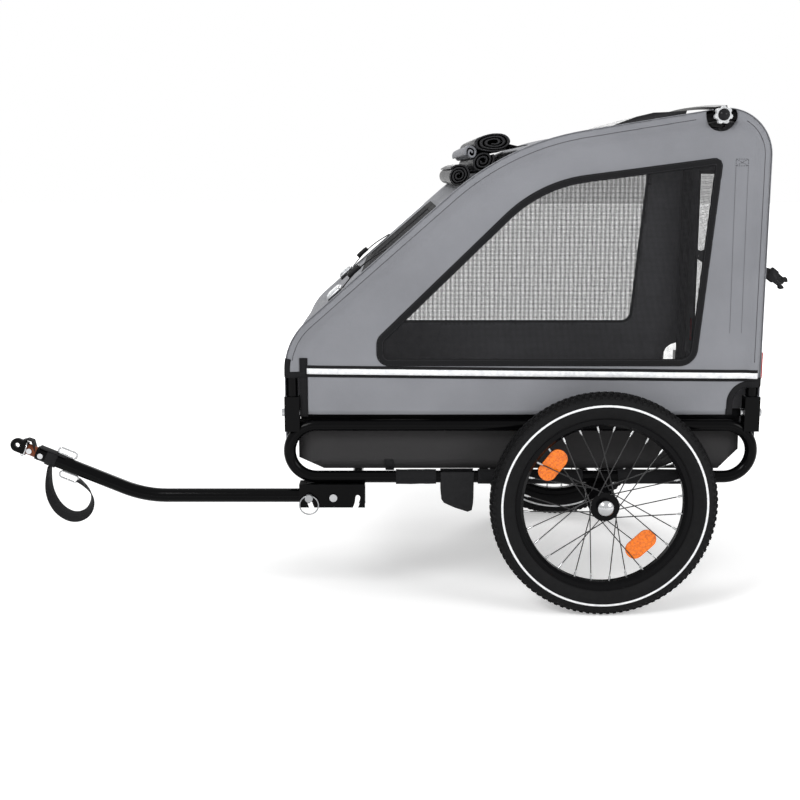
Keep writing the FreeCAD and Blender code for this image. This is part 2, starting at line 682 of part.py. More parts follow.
def window_outline(margin):
    """Window, widened by margin: long slanted front edge, rounded lower corners."""
    points = [
        (AXLE_X - S.window_front - margin, S.window_bottom - margin),
        (AXLE_X + S.window_rear_low + margin, S.window_bottom - margin),
        (AXLE_X + S.window_rear_high + margin, S.window_top + margin),
        (AXLE_X - S.window_brow_reach - margin, S.window_brow_height + margin),
        (AXLE_X - S.window_front - margin, S.window_front_height + margin),
    ]
    low = S.window_corner_radius * WINDOW_FRONT_SHARE
    high = S.window_corner_radius * WINDOW_TOP_SHARE
    radii = [low, S.window_corner_radius, high, S.window_brow_radius, low]
    return rounded(points, radii, closed=True)


def side_panel(name, side):
    """Grey side panel over the hoop, with its window and the cut-outs at the hinges and the knob."""
    edge = offset(HOOP, PANEL_EDGE)
    points = [
        (AXLE_X - S.front_notch_reach, S.panel_bottom),
        (AXLE_X + S.rear_notch_reach, S.panel_bottom),
        (AXLE_X + S.rear_notch_reach, S.rear_notch_top),
        (edge[4][0], S.rear_notch_top),
        edge[3],
        edge[2],
        edge[1],
        (edge[0][0], S.front_notch_top),
        (AXLE_X - S.front_notch_reach, S.front_notch_top),
    ]
    arch = (S.hoop_rear - S.rear_notch_reach) * ARCH_ROUNDING_SHARE
    bends = [radius + PANEL_EDGE for radius in reversed(BENDS)]
    pieces = rounded(points, [0, 0, arch, 0] + bends + [0, 0], closed=True)
    low = side * (RAIL_Y + SKIN)
    y = low - S.fabric_thickness if side < 0 else low
    sheet_plate = plate(name + "_sheet", pieces + window_outline(0), y, "fabric_thickness")
    notch_at = Vector(KNOB_X, y - S.overrun, KNOB_Z)
    deep = "fabric_thickness + 2 * overrun"
    notch = cylinder(name + "_notch", "knob_notch_radius", deep, notch_at, Y_AXIS)
    return cut(name, sheet_plate, notch)


def window_mesh(name, side):
    """Mesh sewn behind the window's edge."""
    face = side * (RAIL_Y + HOOP_R)
    y = face if side < 0 else face - S.window_mesh_thickness
    return plate(name, window_outline(S.window_corner_radius * MESH_SEAM_SHARE), y, "window_mesh_thickness")


def skin(name, side):
    """Half of the fabric that follows the hoop over front, roof and rear, to the trailer's middle."""
    inner = offset(SKIN_RUN, SKIN)
    outer = offset(SKIN_RUN, SKIN + S.fabric_thickness)
    inner_bends = [0] + [radius + SKIN for radius in BENDS] + [0]
    outer_bends = [0] + [radius + SKIN + S.fabric_thickness for radius in BENDS] + [0]
    pieces = rounded(outer + inner[::-1], outer_bends + inner_bends[::-1], closed=True)
    y = -RAIL_Y - HOOP_R if side < 0 else S.seat_gap / 2
    return plate(name, pieces, y, "rail_track / 2 + hoop_diameter / 2 - seat_gap / 2")


def beyond(name, front):
    """Everything ahead of the roof bar's rear side, or behind its front side, with room for the bar."""
    reach = KNOB_X + BAR_ROOM if front else KNOB_X - BAR_ROOM
    length = "front_reach + knob_reach" if front else "rear_reach"
    x = reach - S.front_reach - S.knob_reach if front else reach
    return box(name, length, "2 * rail_track", "2 * crown_height", Vector(x, -S.rail_track, 0))


def bracket_room(name, side, x):
    """Space that the fabric leaves round a hinge bracket."""
    y = -RAIL_Y - HOOP_R - S.overrun if side < 0 else RAIL_Y - S.bracket_reach - S.seat_gap
    half = BRACKET_HALF + S.bolt_head_height + S.overrun
    return box(
        name,
        "hoop_diameter + 2 * (side_gap + bracket_wall + bolt_head_height + overrun)",
        "hoop_diameter / 2 + bracket_reach + seat_gap + overrun",
        "upper_rail_height - tub_end_top + rail_diameter / 2 + hinge_clearance"
        " + hoop_diameter / 2 + bracket_rise + seat_gap",
        Vector(x - half, y, S.tub_end_top),
    )


BAR_ROOM = S.roof_bar_width / 2 + 2 * S.fabric_thickness
SKIN_RUN = [(HOOP[0][0], S.tub_end_top), HOOP[1], HOOP[2], HOOP[3], (HOOP[4][0], S.tub_end_top)]
SLOPE = Vector(1, SLOPE_RISE, 0).normalize()
OUT = Vector(-SLOPE.y, SLOPE.x, 0)


def on_slope(along, out):
    """Place on the front slope: along it from the knee, and out from the hoop's centre line."""
    spot = Vector(HOOP[1][0], HOOP[1][1], 0) + SLOPE * along + OUT * out
    return (spot.x, spot.y)


def cover_roll(name, side):
    """Half of the front cover, rolled up at the top of the slope: a thick roll above a thinner one."""
    foot = (S.hoop_front - S.roll_reach) / SLOPE.x - S.roll_diameter
    base = SKIN + S.fabric_thickness + S.seat_gap
    points = [on_slope(foot + a * S.roll_diameter, base + b * S.roll_diameter) for a, b in ROLL_SHARES]
    pieces = rounded(points, [S.roll_diameter * share for share in ROLL_ROUNDING_SHARES], closed=True)
    y = -RAIL_Y + HOOP_R if side < 0 else S.seat_gap / 2
    return plate(name, pieces, y, "rail_track / 2 - hoop_diameter / 2 - seat_gap / 2")


def front_reflector(name, side):
    """White reflector on the front slope, near the side panel."""
    along = (S.hoop_front - S.reflector_reach) / SLOPE.x
    base = SKIN + S.fabric_thickness + S.seat_gap
    corners = [
        on_slope(along, base),
        on_slope(along + S.front_reflector_height, base),
        on_slope(along + S.front_reflector_height, base + S.front_reflector_depth),
        on_slope(along, base + S.front_reflector_depth),
    ]
    round_r = S.front_reflector_depth * LENS_ROUNDING_SHARE
    inner = RAIL_Y - S.reflector_inset - S.front_reflector_width
    y = -inner - S.front_reflector_width if side < 0 else inner
    return plate(name, rounded(corners, [0, 0, round_r, round_r], True), y, "front_reflector_width")


def rear_reflector(name, side):
    """Red reflector on the rear fabric, beside the rear leg."""
    x = HOOP[4][0] + SKIN + S.fabric_thickness + S.seat_gap
    top = S.rear_reflector_low + S.rear_reflector_height
    deep = x + S.rear_reflector_depth
    corners = [(x, S.rear_reflector_low), (deep, S.rear_reflector_low), (deep, top), (x, top)]
    round_r = S.rear_reflector_depth * LENS_ROUNDING_SHARE
    inner = RAIL_Y - S.reflector_inset - S.rear_reflector_width
    y = -inner - S.rear_reflector_width if side < 0 else inner
    return plate(name, rounded(corners, [0, round_r, round_r, 0], True), y, "rear_reflector_width")


def rear_buckle(name, side):
    """Short strap from the rear fabric with half of a side-release buckle, standing off to the rear."""
    x = HOOP[4][0] + SKIN + S.fabric_thickness + S.seat_gap
    tip = AXLE_X + S.rear_reach
    reach = tip - x
    shoulder = S.buckle_high - S.buckle_drop * BUCKLE_SHOULDER_SHARE
    low = S.buckle_high - S.buckle_drop
    points = [
        (x, S.buckle_high),
        (x + reach * BUCKLE_NECK_SHARE, S.buckle_high - S.strap_thickness),
        (tip, shoulder),
        (tip - S.buckle_thickness, low),
        (x + reach * BUCKLE_NECK_SHARE, S.buckle_high - S.strap_thickness - S.buckle_thickness),
        (x, S.buckle_high - S.strap_thickness),
    ]
    inner = RAIL_Y - S.reflector_inset - S.buckle_width
    y = -inner - S.buckle_width if side < 0 else inner
    return plate(name, sharp(points), y, "buckle_width")


WINDOW_FRONT_SHARE = 0.6
WINDOW_TOP_SHARE = 0.25
MESH_SEAM_SHARE = 0.15
ARCH_ROUNDING_SHARE = 0.8
LENS_ROUNDING_SHARE = 0.4
BUCKLE_SHOULDER_SHARE = 0.55
BUCKLE_NECK_SHARE = 0.35
ROLL_SHARES = ((0, 0), (2, 0), (2, 0.62), (0.95, 0.62), (0.75, 0.36), (0, 0.36))
ROLL_ROUNDING_SHARES = (0.15, 0.28, 0.28, 0.2, 0.12, 0.17)

for name, side in SIDES:
    node(f"{name}_hoop", hoop(f"{name}_hoop", side))
    node(f"{name}_side_panel", side_panel(f"{name}_side_panel", side))
    node(f"{name}_window_mesh", window_mesh(f"{name}_window_mesh", side))
    cover = skin(f"{name}_skin", side)
    for place, x in LEGS:
        room = bracket_room(f"{name}_{place}_room", side, x)
        other = beyond(f"{name}_{place}_rest", place == "rear")
        clear = fuse(f"{name}_{place}_clear", [room, other])
        node(f"{name}_{place}_panel", cut(f"{name}_{place}_panel", cover, clear))
    node(f"{name}_cover_roll", cover_roll(f"{name}_cover_roll", side))
    node(f"{name}_front_reflector", front_reflector(f"{name}_front_reflector", side))
    node(f"{name}_rear_reflector", rear_reflector(f"{name}_rear_reflector", side))
    node(f"{name}_rear_buckle", rear_buckle(f"{name}_rear_buckle", side))

# Roof bar and star knobs
LUG_IN = RAIL_Y + SKIN
LUG_OUT = LUG_IN + S.roof_bar_lug


def roof_bar(name):
    """Cambered flat bar over both hoops, with turned-down lugs outside them."""
    body = doc.addObject("PartDesign::Body", name)
    sketch = body.newObject("Sketcher::SketchObject", name + "_profile")
    plane = next(part for part in body.Origin.OriginFeatures if part.Role == "YZ_Plane")
    sketch.AttachmentSupport = (plane, [""])
    sketch.MapMode = "FlatFace"
    top = SKIN + S.roof_bar_thickness
    low = -S.roof_bar_lug_drop
    outer = [Vector(-LUG_OUT, top, 0), Vector(0, top + S.roof_bar_camber, 0), Vector(LUG_OUT, top, 0)]
    inner = [Vector(-LUG_IN, SKIN, 0), Vector(0, SKIN + S.roof_bar_camber, 0), Vector(LUG_IN, SKIN, 0)]
    pieces = [Part.Arc(*outer), Part.Arc(*inner)]
    for sign, over, under in ((-1, outer[0], inner[0]), (1, outer[2], inner[2])):
        out_foot = Vector(sign * LUG_OUT, low, 0)
        in_foot = Vector(sign * LUG_IN, low, 0)
        pieces.append(Part.LineSegment(over, out_foot))
        pieces.append(Part.LineSegment(out_foot, in_foot))
        pieces.append(Part.LineSegment(in_foot, under))
    sketch.addGeometry(pieces, False)
    pad = body.newObject("PartDesign::Pad", name + "_pad")
    pad.Profile = sketch
    bind(pad, "Length", "roof_bar_width")
    pad.SideType = "Symmetric"
    tilt = -math.degrees(math.atan(ROOF_RISE))
    body.Placement = Placement(Vector(KNOB_X, 0, KNOB_Z), Rotation(Y_AXIS, tilt))
    holes = []
    for side_name, side in SIDES:
        start = Vector(KNOB_X, side * LUG_IN, KNOB_Z)
        hole_r = "knob_stud_diameter / 2 + running_gap"
        holes.append(cylinder(f"{name}_{side_name}_hole", hole_r, "roof_bar_lug", start, Y_AXIS * side))
    return cut(name + "_drilled", body, fuse(name + "_holes", holes))


def star_outline(radius):
    """Round lobes with hollows between them."""
    step = 2 * math.pi / KNOB_LOBES
    valley = radius * KNOB_VALLEY_SHARE

    def at(turn, distance):
        return Vector(KNOB_X + distance * math.sin(turn), KNOB_Z + distance * math.cos(turn), 0)

    pieces = []
    for lobe in range(KNOB_LOBES):
        turn = lobe * step
        flank = step * KNOB_FLANK_SHARE
        side_r = radius * KNOB_SHOULDER_SHARE
        start = at(turn - flank, side_r)
        end = at(turn + flank, side_r)
        follow = at(turn + step - flank, side_r)
        pieces.append(Part.Arc(start, at(turn, radius), end))
        pieces.append(Part.Arc(end, at(turn + step / 2, valley), follow))
    return pieces


def star_knob(name, side):
    """Star knob with a domed cap and a stud that goes through the roof bar's lug into the hoop."""
    face = LUG_OUT + S.seat_gap
    y = -face - S.knob_thickness if side < 0 else face
    star = plate(name + "_star", star_outline(S.knob_diameter / 2), y, "knob_thickness")
    stud_at = Vector(KNOB_X, side * face, KNOB_Z)
    stud_run = "knob_stud_length + roof_bar_lug + seat_gap"
    stud = cylinder(name + "_stud", "knob_stud_diameter / 2", stud_run, stud_at, Y_AXIS * -side)
    foot = side * (face + S.knob_thickness)
    tip = foot + side * S.knob_dome
    edge = S.knob_diameter / 2 * KNOB_CAP_SHARE
    cap_pieces = [
        Part.LineSegment(Vector(tip, 0, 0), Vector(foot, 0, 0)),
        Part.LineSegment(Vector(foot, 0, 0), Vector(foot, edge, 0)),
        dome(foot, tip, edge),
    ]
    cap = revolved(name + "_cap", cap_pieces, Vector(KNOB_X, 0, KNOB_Z))
    return fuse(name, [star, stud, cap])


KNOB_LOBES = 7
KNOB_VALLEY_SHARE = 0.8
KNOB_FLANK_SHARE = 0.27
KNOB_SHOULDER_SHARE = 0.93
KNOB_CAP_SHARE = 0.62
node("roof_bar", roof_bar("roof_bar"))
for name, side in SIDES:
    node(f"{name}_star_knob", star_knob(f"{name}_star_knob", side))

# Wheels
TYRE_R = S.tyre_width / 2
TYRE_RING = AXLE_Z - TYRE_R
BEAD_R = S.rim_bed_diameter / 2
RIM_EDGE = S.rim_edge_diameter / 2
RIM_HALF = S.rim_width / 2
BEAD_HALF = RIM_HALF - S.rim_wall - S.seat_gap
RIM_IN = S.rim_inner_diameter / 2


def tyre(name, centre):
    """Casing with a round tread and two beads held by the rim."""
    spread = math.radians(TYRE_OPENING_SHARE * 360)

    def on_ring(radius, turn):
        return Vector(radius * math.sin(turn), TYRE_RING + radius * math.cos(turn), 0)

    wide = math.pi - spread / 2
    inner_r = TYRE_R - S.tyre_wall
    outer = [on_ring(TYRE_R, -wide), on_ring(TYRE_R, 0), on_ring(TYRE_R, wide)]
    inner = [on_ring(inner_r, -wide), on_ring(inner_r, 0), on_ring(inner_r, wide)]
    collar = RIM_EDGE + S.seat_gap
    bead_in = BEAD_HALF - S.tyre_wall
    pieces = [Part.Arc(*outer), Part.Arc(*inner)]
    for sign, over, under in ((-1, outer[0], inner[0]), (1, outer[2], inner[2])):
        chain = [
            over,
            Vector(sign * BEAD_HALF, collar, 0),
            Vector(sign * BEAD_HALF, BEAD_R, 0),
            Vector(sign * bead_in, BEAD_R, 0),
            under,
        ]
        pieces.extend(Part.LineSegment(a, b) for a, b in zip(chain, chain[1:]))
    return revolved(name, pieces, centre)


def inner_tube(name, centre):
    """Hollow ring with a bored valve stem through the rim."""
    ring = TYRE_R - S.tyre_wall - S.tube_clearance
    step = 2 * math.pi / TUBE_SIDES

    def section(radius):
        corners = []
        for index in range(TUBE_SIDES):
            turn = (index + 0.5) * step
            corners.append((radius * math.sin(turn), TYRE_RING + radius * math.cos(turn)))
        return sharp(corners)

    body = revolved(name + "_ring", section(ring) + section(ring - S.tube_wall), centre)
    turn = math.radians(S.valve_angle)
    heading = Vector(math.cos(turn), 0, math.sin(turn))
    stem_in = TYRE_RING - ring - S.valve_reach + S.tube_wall
    stem_at = centre + heading * stem_in
    stem = cylinder(name + "_stem", "valve_diameter / 2", "valve_reach", stem_at, heading)
    bore = cylinder(name + "_bore", "valve_bore / 2", "valve_reach + overrun", stem_at, heading)
    return cut(name, fuse(name + "_bonded", [body, stem]), bore)


def rim(name, centre):
    """Single-wall rim with hooked flanges, drilled for the valve."""
    bed = BEAD_R - S.seat_gap
    well = RIM_HALF * RIM_WELL_SHARE
    inside = RIM_HALF - S.rim_wall
    points = [
        (-RIM_HALF, RIM_EDGE),
        (-RIM_HALF, bed - S.rim_wall),
        (-well, RIM_IN),
        (well, RIM_IN),
        (RIM_HALF, bed - S.rim_wall),
        (RIM_HALF, RIM_EDGE),
        (inside, RIM_EDGE),
        (inside, bed),
        (well - S.rim_wall / 2, RIM_IN + S.rim_wall),
        (S.rim_wall / 2 - well, RIM_IN + S.rim_wall),
        (-inside, bed),
        (-inside, RIM_EDGE),
    ]
    body = revolved(name + "_ring", sharp(points), centre)
    turn = math.radians(S.valve_angle)
    heading = Vector(math.cos(turn), 0, math.sin(turn))
    start = centre + heading * (RIM_IN - S.overrun)
    hole_r = "valve_diameter / 2 + seat_gap"
    return cut(name, body, cylinder(name + "_valve_hole", hole_r, "rim_wall + 2 * overrun", start, heading))


def hub(name, centre):
    """Hub shell with two spoke flanges and a seat for a bearing at each end."""
    end = S.hub_length / 2
    out = (S.hub_flange_spacing + S.hub_flange) / 2
    inn = (S.hub_flange_spacing - S.hub_flange) / 2
    seat = S.bearing_diameter / 2
    core = seat - S.hub_flange
    shelf = end - S.bearing_lip - S.bearing_width
    nose = S.hub_nose_diameter / 2
    flange = S.hub_flange_diameter / 2
    shell = S.hub_shell_diameter / 2
    right = [(inn, shell), (inn, flange), (out, flange), (out, nose), (end, nose)]
    right += [(end, seat), (shelf, seat), (shelf, core)]
    left = [(-a, radius) for a, radius in reversed(right)]
    return revolved(name, sharp(right + left), centre)


def bearings(name, centre):
    """Two plain rings for the ball bearings in the hub."""
    rings = []
    shelf = S.hub_length / 2 - S.bearing_lip - S.bearing_width
    low = S.axle_diameter / 2 + S.running_gap
    high = S.bearing_diameter / 2 - S.running_gap
    for place, side in SIDES:
        near = side * shelf
        far = side * (shelf + S.bearing_width)
        corners = [(near, low), (far, low), (far, high), (near, high)]
        rings.append(revolved(f"{name}_{place}", sharp(corners), centre))
    return group(name, rings)


def spokes(name, centre):
    """Crossed spokes: leading ones outside the flanges, trailing ones inside, each with its nipple."""
    solids = []
    rim_r = RIM_IN - S.side_gap
    lean = math.radians(360 / (SPOKE_COUNT / 2)) * SPOKE_CROSSES
    beside = (S.hub_flange + S.spoke_diameter) / 2 + S.side_gap
    phase = math.radians(S.valve_angle) + math.pi / SPOKE_COUNT
    for index in range(SPOKE_COUNT):
        flange = 1 if index % 2 else -1
        leading = 1 if (index // 2) % 2 else -1
        turn = phase + 2 * math.pi * index / SPOKE_COUNT
        hub_turn = turn + leading * lean
        hub_y = flange * (S.hub_flange_spacing / 2 + leading * beside)
        hub_r = S.spoke_circle / 2
        start = Vector(hub_r * math.cos(hub_turn), hub_y, hub_r * math.sin(hub_turn))
        rim_y = flange * S.spoke_rim_offset
        end = Vector(rim_r * math.cos(turn), rim_y, rim_r * math.sin(turn))
        along = (end - start).normalize()
        rod = Part.makeCylinder(S.spoke_diameter / 2, start.distanceToPoint(end), centre + start, along)
        nipple_at = centre + end - along * S.nipple_length
        nipple = Part.makeCylinder(S.nipple_diameter / 2, S.nipple_length, nipple_at, along)
        solids.append(rod.fuse(nipple).removeSplitter().Solids[0])
    obj = doc.addObject("Part::Feature", name)
    obj.Shape = Part.makeCompound(solids)
    return obj


def spoke_reflectors(name, centre):
    """Two long oval reflectors clipped between the spokes."""
    lenses = []
    places = ((S.lens_front_radius, S.lens_front_angle), (S.lens_rear_radius, S.lens_rear_angle))
    for index, (radius, angle) in enumerate(places):
        turn = math.radians(angle)
        out = Vector(math.cos(turn), math.sin(turn), 0)
        along = Vector(-out.y, out.x, 0)
        middle = Vector(centre.x, centre.z, 0) + out * radius
        corners = []
        for a, b in ((-1, -1), (1, -1), (1, 1), (-1, 1)):
            spot = middle + along * (a * S.lens_length / 2) + out * (b * S.lens_width / 2)
            corners.append((spot.x, spot.y))
        pieces = rounded(corners, [S.lens_width * LENS_END_SHARE] * 4, closed=True)
        lenses.append(plate(f"{name}_{index}", pieces, centre.y - S.lens_thickness / 2, "lens_thickness"))
    return group(name, lenses)


TYRE_OPENING_SHARE = 0.22
TUBE_SIDES = 8
RIM_WELL_SHARE = 0.5
SPOKE_COUNT = 28
SPOKE_CROSSES = 2
LENS_END_SHARE = 0.48
for name, side in SIDES:
    centre = Vector(AXLE_X, side * WHEEL_Y, AXLE_Z)
    node(f"{name}_tyre", tyre(f"{name}_tyre", centre))
    node(f"{name}_inner_tube", inner_tube(f"{name}_inner_tube", centre))
    node(f"{name}_rim", rim(f"{name}_rim", centre))
    node(f"{name}_spokes", spokes(f"{name}_spokes", centre))
    node(f"{name}_hub", hub(f"{name}_hub", centre))
    node(f"{name}_bearings", bearings(f"{name}_bearings", centre))
    node(f"{name}_spoke_reflectors", spoke_reflectors(f"{name}_spoke_reflectors", centre))

# Drawbar with its bracket, hitch, lock pin and storage clip
DRAWBAR_Y = -RAIL_Y
DRAWBAR_R = S.drawbar_diameter / 2
PIVOT = (AXLE_X - S.drawbar_pivot_reach, S.drawbar_height)
BEND = (AXLE_X - S.drawbar_bend_reach, S.drawbar_height)
HITCH = (AXLE_X - S.front_reach + S.tongue_width / 2, S.hitch_height)
RISE = Vector(HITCH[0] - BEND[0], HITCH[1] - BEND[1], 0).normalize()
ABOVE = Vector(RISE.y, -RISE.x, 0)
CHEEK = DRAWBAR_R + S.side_gap
CHEEK_OUT = CHEEK + S.drawbar_bracket_wall


def on_rise(along, above):
    """Place on the drawbar's rising end: along it from the hitch bore, and above its centre line."""
    spot = Vector(HITCH[0], HITCH[1], 0) + RISE * along + ABOVE * above
    return (spot.x, spot.y)


def cross_bore(name, radius, length, spot, start_y):
    """Cutter or pin across the trailer through a place (x, z)."""
    return cylinder(name, radius, length, Vector(spot[0], start_y, spot[1]), Y_AXIS)


LOCK = (PIVOT[0] - S.lock_pin_throw, PIVOT[1])
TUBE_BOLT = on_rise(-S.hitch_length - S.flex_socket / 2, 0)
TONGUE_BOLT = on_rise(-S.hitch_length + S.flex_length - S.tongue_socket / 2, 0)


def drawbar_tube(name):
    path = [(PIVOT[0] + S.drawbar_tail, PIVOT[1]), BEND, on_rise(-S.hitch_length, 0)]
    pieces = rounded(path, [0, S.drawbar_bend_radius, 0])
    tube = pipe(name + "_bent", pieces, DRAWBAR_Y, "drawbar_diameter", "drawbar_wall")
    start = DRAWBAR_Y - DRAWBAR_R - S.overrun
    span = "drawbar_diameter + 2 * overrun"
    bores = [
        cross_bore(name + "_pivot_bore", "pivot_bolt_diameter / 2 + running_gap", span, PIVOT, start),
        cross_bore(name + "_lock_bore", "lock_pin_diameter / 2 + running_gap", span, LOCK, start),
        cross_bore(name + "_hitch_bore", "hitch_bolt_diameter / 2 + running_gap", span, TUBE_BOLT, start),
    ]
    return cut(name, tube, fuse(name + "_bores", bores))


def drawbar_bracket(name):
    """Channel under the lower rail; its cheeks have open notches for the lock pin, front and rear."""
    length = "drawbar_bracket_front - drawbar_bracket_rear"
    width = "drawbar_diameter + 2 * side_gap"
    height = "lower_rail_height - rail_diameter / 2 - running_gap - drawbar_bracket_bottom"
    corner = Vector(AXLE_X - S.drawbar_bracket_front, DRAWBAR_Y - CHEEK_OUT, S.drawbar_bracket_bottom)
    outer = box(name + "_outer", length, width + " + 2 * drawbar_bracket_wall", height, corner)
    inner = box(
        name + "_inner",
        length + " + 2 * overrun",
        width,
        height + " - drawbar_bracket_wall + overrun",
        corner + Vector(-S.overrun, S.drawbar_bracket_wall, -S.overrun),
    )
    start = DRAWBAR_Y - CHEEK_OUT - S.overrun
    span = width + " + 2 * (drawbar_bracket_wall + overrun)"
    slack = "lock_pin_diameter / 2 + lock_pin_slack"
    big = cross_bore(name + "_arc_out", "lock_pin_throw + " + slack, span, PIVOT, start)
    small = cross_bore(name + "_arc_in", f"lock_pin_throw - ({slack})", span, PIVOT, start)
    upper = box(
        name + "_upper",
        "2 * (lock_pin_throw + lock_pin_diameter)",
        span,
        "lock_pin_throw + lock_pin_diameter",
        Vector(PIVOT[0] - S.lock_pin_throw - S.lock_pin_diameter, start, PIVOT[1]),
    )
    arc = cut(name + "_arc", cut(name + "_ring", big, small), upper)
    folded = (PIVOT[0] + S.lock_pin_throw, PIVOT[1])
    cutters = [
        arc,
        cross_bore(name + "_front_notch", slack, span, LOCK, start),
        cross_bore(name + "_rear_notch", slack, span, folded, start),
        cross_bore(name + "_pivot", "pivot_bolt_diameter / 2 + running_gap", span, PIVOT, start),
    ]
    return cut(name, cut(name + "_channel", outer, inner), fuse(name + "_cutters", cutters))


def pivot_bolt(name):
    half = CHEEK_OUT + S.seat_gap
    span = "drawbar_diameter + 2 * (side_gap + drawbar_bracket_wall + seat_gap)"
    shank = cross_bore(name + "_shank", "pivot_bolt_diameter / 2", span, PIVOT, DRAWBAR_Y - half)
    head_at = DRAWBAR_Y - half - S.bolt_head_height
    head = cross_bore(name + "_head", "bolt_head_diameter / 2", "bolt_head_height", PIVOT, head_at)
    nut = cross_bore(name + "_nut", "bolt_head_diameter / 2", "bolt_head_height", PIVOT, DRAWBAR_Y + half)
    return fuse(name, [shank, head, nut])


def ring(name, diameter, centre, heading):
    """Wire ring round an axis."""
    obj = doc.addObject("Part::Torus", name)
    bind(obj, "Radius1", f"{diameter} / 2")
    bind(obj, "Radius2", "wire_diameter / 2")
    obj.Placement = Placement(centre, turned(heading))
    return obj


def lock_pin(name):
    """Pin through the drawbar with two flanges and a pull ring hanging from the neck between them."""
    face = DRAWBAR_Y - CHEEK_OUT - S.seat_gap
    neck_at = face - S.lock_head - S.lock_neck
    span = "drawbar_diameter + 2 * (side_gap + drawbar_bracket_wall + seat_gap)"
    shank = cross_bore(name + "_shank", "lock_pin_diameter / 2", span, LOCK, face)
    head = cross_bore(name + "_head", "bolt_head_diameter / 2", "lock_head", LOCK, face - S.lock_head)
    neck = cross_bore(name + "_neck", "lock_neck_diameter / 2", "lock_neck", LOCK, neck_at)
    end = cross_bore(name + "_end", "bolt_head_diameter / 2", "lock_head", LOCK, neck_at - S.lock_head)
    hang = (S.lock_ring_diameter - S.wire_diameter - S.lock_neck_diameter) / 2 - S.seat_gap
    ring_at = Vector(LOCK[0], neck_at + S.lock_neck / 2, LOCK[1] - hang)
    pull = ring(name + "_ring", "lock_ring_diameter", ring_at, Y_AXIS)
    return group(name, [fuse(name + "_turned", [shank, head, neck, end]), pull])


def tongue_outline(gap):
    """Hitch tongue: round front end, shoulders against the flexible element and a narrow neck in it."""
    half = S.tongue_width / 2
    neck = half * TONGUE_NECK_SHARE + gap
    shoulder = -S.hitch_length + S.flex_length + S.seat_gap
    root = shoulder - S.tongue_socket - gap
    points = [(root, neck), (shoulder, neck), (shoulder, half), (0, half)]
    upper = [Vector(*on_rise(a, b), 0) for a, b in points]
    lower = [Vector(*on_rise(a, -b), 0) for a, b in points]
    chain = lower[::-1] + upper
    pieces = [Part.LineSegment(a, b) for a, b in zip(chain, chain[1:])]
    pieces.append(Part.Arc(upper[-1], Vector(*on_rise(half, 0), 0), lower[-1]))
    return pieces


def hitch_tongue(name):
    start = DRAWBAR_Y - S.tongue_thickness / 2
    flat = plate(name + "_flat", tongue_outline(0), start, "tongue_thickness")
    bolt_hole_r = "hitch_bolt_diameter / 2 + running_gap"
    bores = [
        cross_bore(name + "_bore", "hitch_bore_diameter / 2", "tongue_thickness", HITCH, start),
        cross_bore(name + "_bolt_hole", bolt_hole_r, "tongue_thickness", TONGUE_BOLT, start),
    ]
    return cut(name, flat, fuse(name + "_bores", bores))


def hitch_flex(name):
    """Round flexible element: one end in the drawbar, the other round the tongue's neck."""
    base = on_rise(-S.hitch_length - S.flex_socket, 0)
    heading = Vector(RISE.x, 0, RISE.y)
    start = Vector(base[0], DRAWBAR_Y, base[1])
    rod = cylinder(name + "_rod", "flex_diameter / 2", "flex_length + flex_socket", start, heading)
    y = DRAWBAR_Y - S.tongue_thickness / 2 - S.running_gap
    slot = plate(name + "_slot", tongue_outline(S.running_gap), y, "tongue_thickness + 2 * running_gap")
    low = DRAWBAR_Y - DRAWBAR_R
    bore_r = "hitch_bolt_diameter / 2 + running_gap"
    bores = [
        slot,
        cross_bore(name + "_tube_bolt", bore_r, "drawbar_diameter", TUBE_BOLT, low),
        cross_bore(name + "_tongue_bolt", bore_r, "drawbar_diameter", TONGUE_BOLT, low),
    ]
    return cut(name, rod, fuse(name + "_cutters", bores))


def hitch_bolt(name, spot, room):
    """Cross bolt of the hitch; room is a formula for the space between its heads."""
    shank = cross_bore(name + "_shank", "hitch_bolt_diameter / 2", room, spot, 0)
    head = cross_bore(name + "_head", "hitch_bolt_diameter", "hitch_bolt_diameter / 2", spot, 0)
    nut = cross_bore(name + "_nut", "hitch_bolt_diameter", "hitch_bolt_diameter / 2", spot, 0)
    bind(shank, "Placement.Base.y", f"-rail_track / 2 - ({room}) / 2")
    bind(head, "Placement.Base.y", f"-rail_track / 2 - ({room}) / 2 - hitch_bolt_diameter / 2")
    bind(nut, "Placement.Base.y", f"-rail_track / 2 + ({room}) / 2")
    return fuse(name, [shank, head, nut])


def snap_hook(name, reach, above):
    """Oblong hook of round rod with a narrow gate, lying along the drawbar's rising end."""
    along = (AXLE_X - reach - HITCH[0]) / RISE.x
    half = (S.hook_length - S.hook_wire) / 2
    tall = (S.hook_width - S.hook_wire) / 2
    gate = S.hook_gate / 2
    corners = [(gate, -tall), (half, -tall), (half, tall), (-half, tall), (-half, -tall), (-gate, -tall)]
    points = [on_rise(along + a, above + b) for a, b in corners]
    return pipe(name, rounded(points, [0, tall, tall, tall, tall, 0]), DRAWBAR_Y, "hook_wire")


def strap_radii(points):
    """Arcs as large as the runs allow: each takes a set share of the shorter run beside it."""
    radii = [0]
    spots = [Vector(x, z, 0) for x, z in points]
    for before, spot, after in zip(spots, spots[1:], spots[2:]):
        run = min(spot.distanceToPoint(before), spot.distanceToPoint(after))
        half = (before - spot).getAngle(after - spot) / 2
        radii.append(STRAP_ARC_SHARE * run * math.tan(half))
    return radii + [0]


